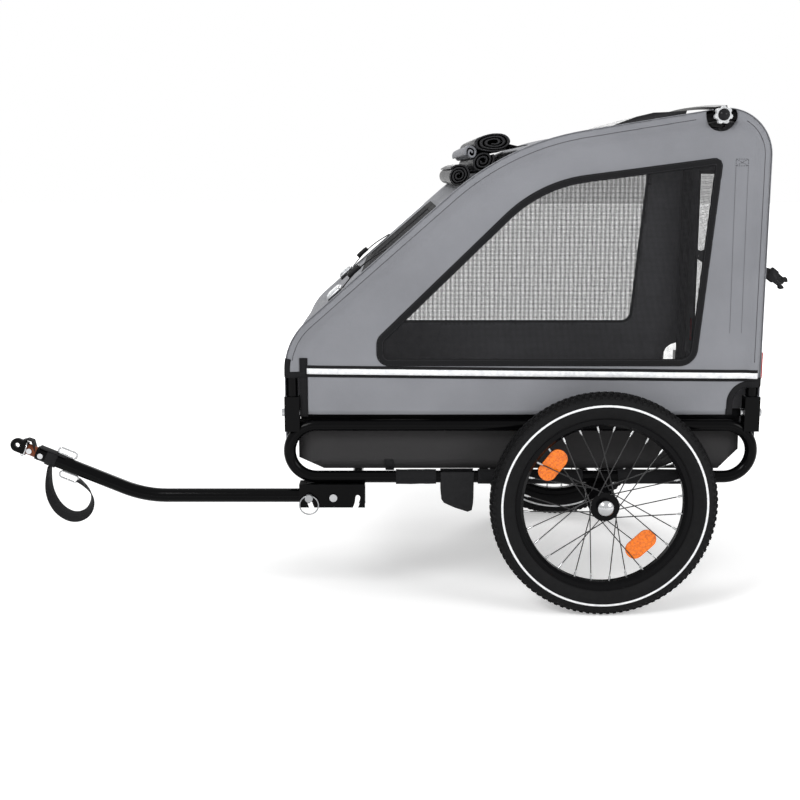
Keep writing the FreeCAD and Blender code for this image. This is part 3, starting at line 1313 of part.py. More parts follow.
def safety_strap(name):
    """Loop of webbing that hangs from the end of the drawbar to the lower snap hook."""
    points = [(AXLE_X - reach, height) for reach, height in STRAP_ROUTE]
    radii = strap_radii(points)
    print("safety strap bend radii", [round(radius, 1) for radius in radii[1:-1]])
    outline = []
    bends = []
    for distance in (S.strap_thickness / 2, -S.strap_thickness / 2):
        moved = offset(points, distance)
        outline += moved if distance > 0 else moved[::-1]
        near = strap_radii(moved)
        bends += near if distance > 0 else near[::-1]
    y = DRAWBAR_Y - S.safety_strap_width / 2
    return plate(name, rounded(outline, bends, closed=True), y, "safety_strap_width")


def storage_clip(name):
    """Plastic clip on the lower rail, open below, that holds the folded drawbar."""
    half = CHEEK + S.clip_wall
    block = box(
        name + "_block",
        "clip_front - clip_rear",
        "drawbar_diameter + 2 * (side_gap + clip_wall)",
        "lower_rail_height + rail_diameter / 2 + sleeve_wall - clip_bottom",
        Vector(AXLE_X - S.clip_front, DRAWBAR_Y - half, S.clip_bottom),
    )
    length = "clip_front - clip_rear + 2 * overrun"
    start = Vector(AXLE_X - S.clip_front - S.overrun, DRAWBAR_Y, S.drawbar_height)
    throat = cylinder(name + "_throat", "drawbar_diameter / 2 + side_gap", length, start, X_AXIS)
    mouth = box(
        name + "_mouth",
        length,
        "drawbar_diameter + 2 * side_gap",
        "drawbar_height - clip_bottom + overrun",
        Vector(start.x, DRAWBAR_Y - CHEEK, S.clip_bottom - S.overrun),
    )
    return cut(name, cut(name + "_seated", block, saddles["left"]), fuse(name + "_room", [throat, mouth]))


TONGUE_NECK_SHARE = 0.5
STRAP_ARC_SHARE = 0.45
RING_PLACE_SHARE = 0.22
RING_YAW_SHARE = 0.46
# Route of the safety strap: millimetres ahead of the axle and above the floor
STRAP_ROUTE = [
    (998, 262.4),
    (1003, 234),
    (999, 203),
    (984, 177),
    (958, 163),
    (932, 172),
    (921, 197),
    (930, 221),
    (949, 235),
]
node("drawbar_tube", drawbar_tube("drawbar_tube"))
node("drawbar_bracket", drawbar_bracket("drawbar_bracket"))
node("drawbar_pivot_bolt", pivot_bolt("drawbar_pivot_bolt"))
node("lock_pin", lock_pin("lock_pin"))
node("hitch_flex", hitch_flex("hitch_flex"))
node("hitch_tongue", hitch_tongue("hitch_tongue"))
tube_room = "drawbar_diameter + 2 * seat_gap"
flex_room = "flex_diameter + 2 * seat_gap"
hitch_bolts = [
    hitch_bolt("tube_bolt", TUBE_BOLT, tube_room),
    hitch_bolt("tongue_bolt", TONGUE_BOLT, flex_room),
]
node("hitch_bolts", group("hitch_bolts", hitch_bolts))
RING_R = (S.safety_ring_diameter - S.wire_diameter) / 2
RING_DROP = RING_R - S.tongue_width / 2 - S.side_gap - S.seat_gap
RING_SPOT = on_rise(-S.hitch_length + S.flex_length + S.safety_ring_diameter * RING_PLACE_SHARE, -RING_DROP)
RING_TURN = Vector(RISE.x, -RING_YAW_SHARE, RISE.y)
node(
    "safety_ring",
    ring("safety_ring", "safety_ring_diameter", Vector(RING_SPOT[0], DRAWBAR_Y, RING_SPOT[1]), RING_TURN),
)
HOOK_OFF = DRAWBAR_R + S.seat_gap + S.hook_width / 2
hooks = [
    snap_hook("upper_hook", S.hook_front_reach, HOOK_OFF),
    snap_hook("lower_hook", S.hook_rear_reach, -HOOK_OFF),
]
node("snap_hooks", group("snap_hooks", hooks))
node("safety_strap", safety_strap("safety_strap"))
node("storage_clip", storage_clip("storage_clip"))

# Rebuild, test every object and write the sub-parts
doc.recompute()
for obj in doc.Objects:
    if "Invalid" in obj.State or "Error" in obj.State:
        raise RuntimeError(f"{obj.Name} failed: {obj.State}")
for label, obj in nodes.items():
    if obj.Shape.isNull() or not obj.Shape.isValid() or not obj.Shape.Solids:
        raise RuntimeError(f"{label} has no valid solid")
os.makedirs("parts", exist_ok=True)
for label, obj in nodes.items():
    obj.Shape.exportStep(f"parts/{label}.step")
print(len(nodes), "sub-parts written")
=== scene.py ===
"""Looks of a dog bike trailer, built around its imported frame. Lengths are in metres."""

import json
import math
from collections import namedtuple
from itertools import groupby

import bmesh
import bpy
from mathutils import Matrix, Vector, noise
from mathutils.bvhtree import BVHTree


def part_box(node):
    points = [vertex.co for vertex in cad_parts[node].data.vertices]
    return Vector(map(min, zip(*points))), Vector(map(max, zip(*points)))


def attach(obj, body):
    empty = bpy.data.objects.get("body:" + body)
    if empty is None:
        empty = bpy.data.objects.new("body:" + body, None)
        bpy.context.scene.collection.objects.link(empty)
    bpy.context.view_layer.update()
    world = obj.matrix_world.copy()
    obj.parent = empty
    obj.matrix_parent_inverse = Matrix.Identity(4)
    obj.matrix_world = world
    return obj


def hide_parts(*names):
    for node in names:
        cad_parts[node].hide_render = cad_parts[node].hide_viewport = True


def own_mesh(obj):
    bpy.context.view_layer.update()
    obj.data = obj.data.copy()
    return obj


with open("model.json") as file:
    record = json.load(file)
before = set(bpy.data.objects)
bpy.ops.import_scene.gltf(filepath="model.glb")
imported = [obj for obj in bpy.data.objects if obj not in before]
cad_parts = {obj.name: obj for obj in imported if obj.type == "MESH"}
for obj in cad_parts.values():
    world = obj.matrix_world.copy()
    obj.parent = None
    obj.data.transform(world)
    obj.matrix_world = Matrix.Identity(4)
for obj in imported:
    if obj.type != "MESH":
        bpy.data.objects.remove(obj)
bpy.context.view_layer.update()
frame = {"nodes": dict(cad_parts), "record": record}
NODES = frame["nodes"]
SIDES = (("left", -1), ("right", 1))
X_AXIS = Vector((1, 0, 0))
Y_AXIS = Vector((0, 1, 0))
Z_AXIS = Vector((0, 0, 1))


def middle(node):
    """Centre of a node's box."""
    low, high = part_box(node)
    return (low + high) / 2


def clamp(value):
    """The value, kept between 0 and 1."""
    return min(1, max(0, value))


def steps(start, end, count):
    """Evenly spaced values from start to end."""
    return [start + (end - start) * index / (count - 1) for index in range(count)]


# Materials


def add(tree, kind, *links, **settings):
    """Adds a shader node, with links or values for its first inputs."""
    made = tree.nodes.new("ShaderNode" + kind)
    for name, value in settings.items():
        setattr(made, name, value)
    for index, source in enumerate(links):
        if isinstance(source, (int, float)):
            made.inputs[index].default_value = source
        else:
            tree.links.new(source, made.inputs[index])
    return made


def put(made, **values):
    """Sets inputs of a shader node by their names, with _ for a space."""
    for socket, value in values.items():
        made.inputs[socket.replace("_", " ")].default_value = value
    return made


LOOKS = {}


class Look:
    """A material: one Principled shader with procedural nodes in front of it."""

    def __init__(self, name, colour, roughness, **values):
        self.material = bpy.data.materials.new(name)
        self.material.use_nodes = True
        self.tree = self.material.node_tree
        self.shader = self.tree.nodes["Principled BSDF"]
        self.colour = colour
        put(self.shader, Base_Color=(*colour, 1), Roughness=roughness, **values)
        self.place = self.node("TexCoord").outputs["Object"]
        self.height = None
        LOOKS[name] = self

    def node(self, kind, *links, **settings):
        return add(self.tree, kind, *links, **settings)

    def link(self, source, socket):
        self.tree.links.new(source, self.shader.inputs[socket])

    def noise(self, scale, detail=4.0, stretch=None):
        """Noise with a scale in features per metre."""
        place = self.place
        if stretch:
            place = put(self.node("Mapping", place), Scale=stretch).outputs[0]
        return put(self.node("TexNoise", place), Scale=scale, Detail=detail).outputs["Fac"]

    def wave(self, direction, pitch):
        """Ridges across a direction, one every pitch."""
        made = self.node("TexWave", self.place, bands_direction=direction)
        return put(made, Scale=math.pi / (10 * pitch)).outputs["Fac"]

    def math(self, operation, first, second):
        return self.node("Math", first, second, operation=operation).outputs[0]

    def within(self, x, z, radius):
        """1 inside a radius of a line along Y, 0 outside."""
        flat = put(self.node("Mapping", self.place), Scale=(1, 0, 1), Location=(-x, 0, -z))
        reach = self.node("VectorMath", flat.outputs[0], operation="LENGTH").outputs["Value"]
        return self.math("LESS_THAN", reach, radius)

    def inlay(self, mask, colour, roughness):
        """Another finish, not metallic, where mask is 1."""
        for socket, value in (("Base Color", (*colour, 1)), ("Roughness", roughness), ("Metallic", 0.0)):
            entry = self.shader.inputs[socket]
            coloured = socket == "Base Color"
            pick = self.node("Mix", mask, data_type="RGBA" if coloured else "FLOAT")
            first, last = pick.inputs[6:8] if coloured else pick.inputs[2:4]
            if entry.is_linked:
                self.tree.links.new(entry.links[0].from_socket, first)
            else:
                first.default_value = entry.default_value
            last.default_value = value
            self.link(pick.outputs[2 if coloured else 0], socket)

    def tint(self, source, dark, light, low=0.3, high=0.7):
        """Lighter and darker places of the base colour, between two values of source."""
        made = self.node("ValToRGB", source)
        for element, position, change in zip(made.color_ramp.elements, (low, high), (dark, light)):
            element.position = position
            element.color = (*(min(1, channel * change) for channel in self.colour), 1)
        self.link(made.outputs["Color"], "Base Color")

    def polish(self, source, low, high):
        """Roughness between two values."""
        made = put(self.node("MapRange", source), To_Min=low, To_Max=high)
        self.link(made.outputs[0], "Roughness")

    def bump(self, source, depth, strength=1.0):
        """Relief of a depth in metres, over any relief there is."""
        made = put(self.node("Bump"), Strength=strength, Distance=depth)
        self.tree.links.new(source, made.inputs["Height"])
        if self.height:
            self.tree.links.new(self.height, made.inputs["Normal"])
        self.height = made.outputs[0]
        self.link(self.height, "Normal")


def woven(name, colour, pitch, depth, roughness=0.85, sheen=0.25, gloss=0.25):
    """Cloth with a plain weave, faded in patches and with small creases."""
    look = Look(name, colour, roughness, Sheen_Weight=sheen, Sheen_Roughness=0.4, Specular_IOR_Level=gloss)
    threads = look.math("ADD", look.wave("X", pitch), look.wave("Z", pitch))
    threads = look.math("ADD", threads, look.wave("Y", pitch))
    patches = look.math("MULTIPLY", look.noise(9, 5), 0.7)
    fibres = look.math("MULTIPLY", look.noise(900, 2), 0.3)
    look.tint(look.math("ADD", patches, fibres), 0.9, 1.1)
    look.bump(look.noise(35, 6), 0.0016, 0.55)
    look.bump(threads, depth, 0.5)


def painted(name, colour, roughness):
    """Sprayed enamel with a little orange peel and dust."""
    look = Look(name, colour, roughness, Specular_IOR_Level=0.06)
    look.polish(look.noise(40, 6), roughness * 0.75, roughness * 1.5)
    look.bump(look.noise(260, 2), 0.00008, 0.35)


def metal(name, colour, roughness, grain):
    """Bare metal with fine marks."""
    look = Look(name, colour, roughness, Metallic=1.0)
    marks = look.noise(300, 4, grain)
    look.polish(marks, roughness * 0.7, roughness * 1.6)
    look.tint(look.noise(60, 5), 0.85, 1.05)
    look.bump(marks, 0.00004, 0.5)
    return look


def moulded(name, colour, roughness, grain=700):
    """Moulded plastic or rubber with a fine grain."""
    look = Look(name, colour, roughness, Specular_IOR_Level=0.1)
    look.polish(look.noise(50, 5), roughness * 0.85, min(1, roughness * 1.2))
    look.tint(look.noise(120, 4), 0.85, 1.15)
    look.bump(look.noise(grain, 3), 0.0001, 0.6)
    return look


def prismatic(name, colour):
    """Clear reflector lens over small prisms."""
    look = Look(name, colour, 0.2, Coat_Weight=0.3, Coat_Roughness=0.05, Specular_IOR_Level=0.35)
    cells = put(look.node("TexVoronoi", look.place), Scale=330)
    look.tint(cells.outputs["Color"], 0.72, 1.2, 0.2, 0.8)
    look.bump(cells.outputs["Distance"], 0.0007, 0.8)


painted("black_paint", (0.002, 0.002, 0.0023), 0.13)
painted("rim_black", (0.004, 0.004, 0.0045), 0.18)
painted("spoke_black", (0.012, 0.012, 0.013), 0.3)
metal("steel", (0.33, 0.335, 0.345), 0.34, (1, 8, 1))
metal("chrome", (0.46, 0.465, 0.475), 0.16, (1, 1, 1))
moulded("tyre", (0.007, 0.007, 0.0075), 0.6, 500)
moulded("inner_tube", (0.012, 0.012, 0.012), 0.6)
woven("grey_fabric", (0.235, 0.24, 0.26), 0.0012, 0.0003)
woven("black_fabric", (0.011, 0.011, 0.012), 0.0013, 0.00035, 0.8, 0.02, 0.12)
woven("tub_fabric", (0.034, 0.033, 0.034), 0.0013, 0.00035, 0.7, 0.06, 0.2)
# Dark grey for the cloth's inner faces and the seam strip: painted shade of the cabin's inside, darker than
# the grey cloth it stands for
woven("lining", (0.11, 0.11, 0.12), 0.0013, 0.0003, 0.85, 0.1)
moulded("mesh", (0.03, 0.03, 0.032), 0.7)
woven("cover", (0.008, 0.008, 0.0095), 0.0011, 0.0003, 0.4, 0.01, 0.25)
moulded("thread", (0.05, 0.05, 0.055), 0.7)
woven("webbing", (0.012, 0.012, 0.013), 0.0024, 0.0006, 0.75, 0.02, 0.12)
moulded("reflective", (0.86, 0.87, 0.9), 0.35, 1500)
prismatic("white_reflector", (0.8, 0.82, 0.84))
prismatic("orange_reflector", (1.0, 0.185, 0.001))
prismatic("red_reflector", (0.5, 0.012, 0.012))
moulded("black_plastic", (0.012, 0.012, 0.013), 0.42)
moulded("knob_plastic", (0.42, 0.43, 0.44), 0.4)
moulded("urethane", (0.16, 0.045, 0.02), 0.38)
moulded("board", (0.02, 0.02, 0.021), 0.7)
# Looks of a cloth: grey outside, and the painted shade grey on its inner faces
GREY_OUT_SHADE_IN = ("grey_fabric", "lining")

# Spokes are black inside their nipples, and the knobs have a black cap
AXLE = middle("left_axle_button")
NIPPLE_REACH = 0.131
nippled = metal("nippled", (0.5, 0.505, 0.51), 0.25, (1, 1, 1))
nippled.inlay(nippled.within(AXLE.x, AXLE.z, NIPPLE_REACH), (0.008, 0.008, 0.009), 0.3)
KNOB = middle("left_star_knob")
KNOB_CAP = 0.0102
capped = moulded("capped", (0.55, 0.56, 0.57), 0.4)
capped.inlay(capped.within(KNOB.x, KNOB.z, KNOB_CAP), (0.012, 0.012, 0.013), 0.22)

shown_looks = {subpart["node"]: subpart["material_slot"] for subpart in frame["record"]["subparts"]}
shown_looks["hitch_tongue"] = "black_paint"
for name, _ in SIDES:
    shown_looks[f"{name}_spokes"] = "nippled"
    shown_looks[f"{name}_star_knob"] = "capped"
for node, look in shown_looks.items():
    NODES[node].data.materials.clear()
    NODES[node].data.materials.append(LOOKS[look].material)


# Pieces: the thickness of all cloth, and how far off a line starts that looks for a cloth
FABRIC = 0.0012
PROBE = 0.05


def show(name, data):
    """Puts an object into the scene."""
    obj = bpy.data.objects.new(name, data)
    bpy.context.scene.collection.objects.link(obj)
    return obj


def shaped(name, bm):
    """Object with the shape of a bmesh."""
    mesh = bpy.data.meshes.new(name)
    bm.to_mesh(mesh)
    bm.free()
    return show(name, mesh)


def final_mesh(obj):
    """Mesh of an object with its modifiers applied."""
    return bpy.data.meshes.new_from_object(obj.evaluated_get(bpy.context.evaluated_depsgraph_get()))


def search_tree(obj):
    """Search tree over an object's faces."""
    return BVHTree.FromObject(obj, bpy.context.evaluated_depsgraph_get())


def piece(name, bm, body, slot, *replaced, looks=None, smooth=True):
    """Turns a bmesh into a piece that rides on a body, in the look of its slot."""
    bmesh.ops.recalc_face_normals(bm, faces=bm.faces)
    obj = shaped(name, bm)
    for look in looks or [slot]:
        obj.data.materials.append(LOOKS[look].material)
    obj.data.polygons.foreach_set("use_smooth", [smooth] * len(obj.data.polygons))
    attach(obj, body)
    if replaced:
        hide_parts(*replaced)
    return obj


def on_side(name, label, bm, slot, *replaced, **options):
    """A piece of a folding side, named after it."""
    return piece(f"{name}_{label}", bm, f"{name}_side", slot, *replaced, **options)


def skin(bm, rings, closed=False):
    """Faces over rings of points, each ring closed. Gives the rings' vertices."""
    rows = [[bm.verts.new(spot) for spot in ring] for ring in rings]
    pairs = list(zip(rows, rows[1:]))
    if closed:
        pairs.append((rows[-1], rows[0]))
    for one, two in pairs:
        for index in range(len(one)):
            after = (index + 1) % len(one)
            bm.faces.new((one[index], one[after], two[after], two[index]))
    return rows


def loft(rings, closed=False, bm=None):
    """Closed form over rings of points, in a new bmesh or added to one."""
    bm = bmesh.new() if bm is None else bm
    rows = skin(bm, rings, closed)
    if not closed:
        bm.faces.new(rows[0][::-1])
        bm.faces.new(rows[-1])
    return bm


def strip(spots, acrosses, outs, section, closed=False, bm=None):
    """Band along spots: section points are (across, out) from each spot.

    Either direction is one for all spots, or a list."""
    ways = [[way] * len(spots) if isinstance(way, Vector) else way for way in (acrosses, outs)]
    rings = []
    for spot, across, out in zip(spots, *ways):
        rings.append([spot + across * a + out * b for a, b in section])
    return loft(rings, closed, bm)


def upright_ring(one, two, y, side):
    """Ring round an upright cloth between two (x, z) places, with its outer face at y."""
    back = y - side * FABRIC
    return [Vector((x, at, z)) for (x, z), at in ((one, y), (two, y), (two, back), (one, back))]


def flat_section(half, thickness, lift=0.0):
    """Cross-section of webbing or binding with softened edges."""
    edge = min(thickness * 0.45, half * 0.4)
    shoulder, top = lift + thickness * 0.3, lift + thickness
    crown = (0, lift + thickness * 1.06)
    upper = [(-half, shoulder), (-half + edge, top), crown, (half - edge, top), (half, shoulder)]
    return upper + [(half - edge * 0.4, lift), (-half + edge * 0.4, lift)]


def faces_of(node, keep=lambda face: True):
    """Bmesh of those faces of a CAD node that keep(face) picks."""
    bm = bmesh.new()
    bm.from_mesh(NODES[node].data)
    bmesh.ops.remove_doubles(bm, verts=bm.verts, dist=1e-6)
    bm.normal_update()
    bmesh.ops.delete(bm, geom=[face for face in bm.faces if not keep(face)], context="FACES")
    bmesh.ops.dissolve_limit(bm, angle_limit=math.radians(0.3), verts=bm.verts, edges=bm.edges)
    return bm


def slice_at(bm, at, way):
    """Cuts the faces at a plane."""
    geom = bm.verts[:] + bm.edges[:] + bm.faces[:]
    bmesh.ops.bisect_plane(bm, geom=geom, plane_co=at, plane_no=way, dist=1e-6)


def grid(bm, pitch, *axes):
    """Cuts the faces at planes a pitch apart, so that they can crease."""
    for axis in axes:
        reach = [vert.co.dot(axis) for vert in bm.verts]
        low, high = min(reach), max(reach)
        count = max(1, round((high - low) / pitch))
        for index in range(1, count):
            slice_at(bm, axis * (low + (high - low) / count * index), axis)


def loops_of(bm):
    """Boundary loops of a sheet as lists of points, the longest first."""
    links = {}
    for edge in bm.edges:
        if edge.is_boundary:
            one, two = edge.verts
            links.setdefault(one, []).append(two)
            links.setdefault(two, []).append(one)
    loops = []
    while links:
        here = next(iter(links))
        loop = []
        while here is not None:
            loop.append(here.co.copy())
            here = next((vert for vert in links.pop(here) if vert in links), None)
        loops.append(loop)
    return sorted(loops, key=lambda loop: -sum((a - b).length for a, b in zip(loop, loop[1:])))


def spaced(spots, pitch, closed=True):
    """Points a pitch apart along a line of points."""
    ring = spots + [spots[0]] if closed else spots
    lengths = [(b - a).length for a, b in zip(ring, ring[1:])]
    total = sum(lengths)
    count = max(3, round(total / pitch))
    found = []
    index, done = 0, 0.0
    for step in range(count if closed else count + 1):
        goal = total * step / count
        while index < len(lengths) - 1 and done + lengths[index] < goal:
            done += lengths[index]
            index += 1
        share = (goal - done) / lengths[index] if lengths[index] else 0
        found.append(ring[index].lerp(ring[index + 1], min(1, share)))
    return found


def sways(spots, out, closed=True):
    """Directions across a line of points, at right angles to it and to out."""
    if closed:
        backs, aheads = spots[-1:] + spots[:-1], spots[1:] + spots[:1]
    else:
        backs, aheads = spots[:1] + spots[:-1], spots[1:] + spots[-1:]
    return [(ahead - back).normalized().cross(out).normalized() for back, ahead in zip(backs, aheads)]


def creases(spot, size, stretch=(1, 1, 1), seed=0.0):
    """Smooth noise between about -1 and 1 with features of a size."""
    at = Vector((spot.x * stretch[0], spot.y * stretch[1], spot.z * stretch[2])) / size
    return noise.noise(at + Vector((seed, seed * 0.7, seed * 1.3)))


def struck(tree, spot, out):
    """Where a line straight in from outside meets a cloth, if it does."""
    return tree.ray_cast(spot + out * PROBE, -out, 2 * PROBE)[0]


def drape(tree, spot, out, lift, *shifts):
    """Place on a cloth, straight in from outside and lifted off it.

    Shifts are tried in turn beside an edge."""
    for shift in (Vector(), *shifts):
        hit = struck(tree, spot + shift, out)
        if hit:
            return spot + out * ((hit - spot).dot(out) + lift)
    return spot


def flat_area(loop):
    """Area of a loop of points, seen along Y."""
    return abs(sum(a.x * b.z - b.x * a.z for a, b in zip(loop, loop[1:] + loop[:1]))) / 2


def inset(loop, out, reach):
    """A closed loop moved inward, without the points that its corners fold back."""
    acrosses = sways(loop, out)
    moved = [spot + across * reach for spot, across in zip(loop, acrosses)]
    if flat_area(moved) > flat_area(loop):
        moved = [spot - across * reach for spot, across in zip(loop, acrosses)]
    return [spot for spot in moved if min((spot - edge).length for edge in loop) > reach * 0.93]


def runs_of(spots, keep):
    """Stretches of a closed line of points that keep(spot) picks."""
    first = next(index for index, spot in enumerate(spots) if not keep(spot))
    runs = [list(run) for kept, run in groupby(spots[first:] + spots[:first], keep) if kept]
    return [run for run in runs if len(run) > 3]


STITCH, STITCH_PITCH = 0.0027, 0.0042
THREAD_HALF = 0.0004
THREAD_DIP = 0.0003


def stitches(bm, spots, tree, out):
    """Row of threads, each a small bar that dips into the cloth at its ends."""
    for here, after in zip(spots, spots[1:]):
        along = after - here
        if not 0.001 < along.length < 0.008:
            continue
        along.normalize()
        across = along.cross(out) * THREAD_HALF
        up = out * THREAD_HALF
        rings = []
        for share, lift in ((0, -THREAD_DIP), (0.2, THREAD_DIP), (0.8, THREAD_DIP), (1, -THREAD_DIP)):
            spot = drape(tree, here + along * STITCH * share, out, lift)
            rings.append([spot - across, spot + up, spot + across, spot - up])
        loft(rings, bm=bm)


# Safety strap: flat webbing that hangs from the drawbar in a loop
STRAP_WIDTH = 0.025
STRAP_TWIST = math.radians(36)
STRAP_Y = -0.285
STRAP_ROUTE = [(x, STRAP_Y, z) for x, z in (
    (-0.6275, 0.2624), (-0.6325, 0.234), (-0.6285, 0.203), (-0.6135, 0.177), (-0.5875, 0.163),
    (-0.5615, 0.172), (-0.5505, 0.197), (-0.5595, 0.221), (-0.5785, 0.235),
)]
WEBBING = 0.0018


def spline_points(route):
    """Points along the smooth line that a route controls."""
    curve = bpy.data.curves.new("route", "CURVE")
    curve.dimensions = "3D"
    spline = curve.splines.new("NURBS")
    spline.points.add(len(route) - 1)
    for point, spot in zip(spline.points, route):
        point.co = (*spot, 1)
    spline.order_u = 3
    spline.use_endpoint_u = True
    spline.resolution_u = 8
    obj = show("route", curve)
    mesh = final_mesh(obj)
    found = [vert.co.copy() for vert in mesh.vertices]
    bpy.data.objects.remove(obj)
    bpy.data.meshes.remove(mesh)
    return found


def safety_strap():
    """The strap as a cord, turned a little on its way round."""
    line = spline_points(STRAP_ROUTE)
    acrosses, outs = [], []
    for index, out in enumerate(sways(line, Y_AXIS, closed=False)):
        share = index / (len(line) - 1)
        turn = STRAP_TWIST * math.sin(math.pi * share) ** 0.8
        acrosses.append(Y_AXIS * math.cos(turn) + out * math.sin(turn))
        outs.append(out * math.cos(turn) - Y_AXIS * math.sin(turn))
    bm = strip(line, acrosses, outs, flat_section(STRAP_WIDTH / 2, WEBBING, -WEBBING / 2))
    strap = piece("safety_strap_webbing", bm, "drawbar", "webbing", "safety_strap")
    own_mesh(strap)


safety_strap()

# Fabric of the two folding sides
HOOP_R = 0.010
SEAM_REACH = 0.020
SLEEVE_REACH = 0.012
SLEEVE_FALL = 0.0042
CABIN_MIDDLE = Vector((0.25, 0, 0.52))


def thicken(obj):
    """Gives a cloth its thickness, inward, with its second look on the inside."""
    made = obj.modifiers.new("thickness", "SOLIDIFY")
    made.thickness = FABRIC
    made.offset = -1
    # The inner faces take the second look, which is painted shade
    made.material_offset = 1
    mesh = final_mesh(obj)
    obj.modifiers.clear()
    obj.data = mesh


def side_panel(name, side):
    """Side panel: pulled over the hoop as a sleeve, slack inside the seam."""
    node = f"{name}_side_panel"
    out = Y_AXIS * side
    bm = faces_of(node, lambda face: face.normal.dot(out) > 0.9)
    loops = loops_of(bm)
    grid(bm, 0.0085, X_AXIS, Z_AXIS)
    outer = abs(bm.verts[:][0].co.y - middle(f"{name}_hoop").y)
    tree = search_tree(NODES[f"{name}_hoop"])
    for vert in bm.verts:
        # Distance from the hoop's centre line, in the panel's plane
        near = tree.find_nearest(vert.co)[3] + HOOP_R
        reach = math.sqrt(max(0, near * near - outer * outer))
        if reach < SLEEVE_REACH:
            fall = min(0.0045, outer - math.sqrt(max(0.00001, outer * outer - reach * reach)))
        else:
            past = reach - SLEEVE_REACH
            dip = 0.0046 - 0.0026 * clamp((reach - SEAM_REACH) / 0.03)
            fall = SLEEVE_FALL + (dip - SLEEVE_FALL) * min(1, past / (SEAM_REACH * 0.5))
            slack = 0.0011 * creases(vert.co, 0.11, (1, 1, 0.6), side)
            slack += 0.0005 * creases(vert.co, 0.035, (1, 1, 1), side + 5)
            fall += slack * min(1, past / 0.04)
        vert.co.y -= side * fall
    cut = sum(face.calc_area() for face in bm.faces)
    panel = on_side(name, "panel_cloth", bm, "grey_fabric", node, looks=GREY_OUT_SHADE_IN)
    thicken(panel)
    return loops, search_tree(panel)


def window_binding(name, side, loop, tree):
    """Folded tape sewn round the window."""
    out = Y_AXIS * side
    ring = spaced(loop, 0.005)
    acrosses = sways(ring, out)
    shifts = [(across * 0.006, across * -0.006) for across in acrosses]
    ring = [drape(tree, spot, out, 0, *pair) for spot, pair in zip(ring, shifts)]
    bm = strip(ring, acrosses, out, flat_section(0.0066, 0.0024, -0.0006), closed=True)
    binding = search_tree(on_side(name, "window_binding", bm, "black_fabric"))
    bm = bmesh.new()
    for reach in (0.0042, -0.0042):
        stitches(bm, [spot + across * reach for spot, across in zip(ring, acrosses)], binding, out)
    on_side(name, "binding_stitches", bm, "black_fabric", looks=["thread"], smooth=False)


BINDING = flat_section(0.0058, 0.0024, -0.0006)
SEAM_INSET = 0.0125
SEAM_LOW = 0.452
# Ends (x, z) of the rows of stitches over the rear strap's anchor
LABEL_ROWS = (
    ((0.5920, 0.5050), (0.5887, 0.8076)),
    ((0.6133, 0.5050), (0.6107, 0.8076)),
    ((0.5887, 0.8076), (0.6107, 0.8076)),
    ((0.5890, 0.7960), (0.6109, 0.7960)),
    ((0.5887, 0.8076), (0.6109, 0.7960)),
    ((0.6107, 0.8076), (0.5890, 0.7960)),
)


def from_knob(spot):
    """Distance from the star knob's axis."""
    return math.hypot(spot.x - KNOB.x, spot.z - KNOB.z)


def edge_binding(name, side, loop, tree):
    """Black tape round the cut-outs at the knob and the hinges."""
    out = Y_AXIS * side

    def bound(spot):
        by_rear = spot.x > 0.590 and spot.z < 0.425
        by_front = spot.x < -0.160 and spot.z < 0.462
        return from_knob(spot) < 0.0215 or by_rear or by_front

    bm = bmesh.new()
    for run in runs_of(spaced(loop, 0.003), bound):
        acrosses = sways(run, out, closed=False)
        half_way = len(run) // 2
        if not struck(tree, run[half_way] + acrosses[half_way] * 0.006, out):
            acrosses = [-across for across in acrosses]
        spots = []
        for spot, across in zip(run, acrosses):
            spots.append(drape(tree, spot + across * 0.0048, out, 0, across * 0.003, across * 0.006))
        strip(spots, acrosses, out, BINDING, bm=bm)
    on_side(name, "edge_binding", bm, "black_fabric")


def seams(name, side, loop, tree):
    """Sleeve seam along the hoop with a strip of painted shade in it, and the box of stitches over the rear
    strap's anchor.
    """
    out = Y_AXIS * side
    line = inset(spaced(loop, STITCH_PITCH), out, SEAM_INSET)
    runs = runs_of(line, lambda spot: spot.z > SEAM_LOW and from_knob(spot) > 0.042)
    bm = bmesh.new()
    for run in runs:
        stitches(bm, run, tree, out)
    for ends in LABEL_ROWS:
        ends = [Vector((x, loop[0].y, z)) for x, z in ends]
        stitches(bm, spaced(ends, STITCH_PITCH, closed=False), tree, out)
    on_side(name, "seam_stitches", bm, "grey_fabric", looks=["thread"], smooth=False)
    # A thin dark strip under the stitches: painted shade standing in for the seam's groove
    bm = bmesh.new()
    for run in runs:
        spots = [drape(tree, spot, out, 0) for spot in run]
        strip(spots, sways(spots, out, False), out, flat_section(0.0007, 0.0005, -0.0002), bm=bm)
    on_side(name, "seam_shade_strip", bm, "grey_fabric", looks=["lining"])


def crossings(loop, across, at):
    """Where a line at a height crosses a closed outline of (along, height) points."""
    found = []
    for one, two in zip(loop, loop[1:] + loop[:1]):
        if (one[across] - at) * (two[across] - at) < 0:
            share = (at - one[across]) / (two[across] - one[across])
            along = 1 - across
            found.append(one[along] + share * (two[along] - one[along]))
    return sorted(found)


# Pitch of the threads, and half their width in each direction
FINE_NET = (0.0021, (0.00036, 0.00026))
COARSE_NET = (0.0034, (0.00022, 0.00022))


def mesh_threads(loop, ways, out, net):
    """Net of flat threads inside a closed outline of points in the plane of two ways."""
    pitch, halves = net
    bm = bmesh.new()
    corner = loop[0].copy()
    flat = [((spot - corner).dot(ways[0]), (spot - corner).dot(ways[1])) for spot in loop]
    for across in (0, 1):
        low = min(spot[across] for spot in flat)
        high = max(spot[across] for spot in flat)
        half = halves[across]
        lift = out * (half * 0.6 * (1 if across else -1))
        side = ways[across] * half
        for index in range(1, int((high - low) / pitch)):
            at = low + index * pitch
            ends = crossings(flat, across, at)
            for start, end in zip(ends[::2], ends[1::2]):
                rings = []
                for along in (start, end):
                    spot = corner + ways[across] * at + ways[1 - across] * along + lift
                    rings.append([spot - side, spot + out * half * 0.5, spot + side, spot - out * half * 0.5])
                loft(rings, bm=bm)
    return bm


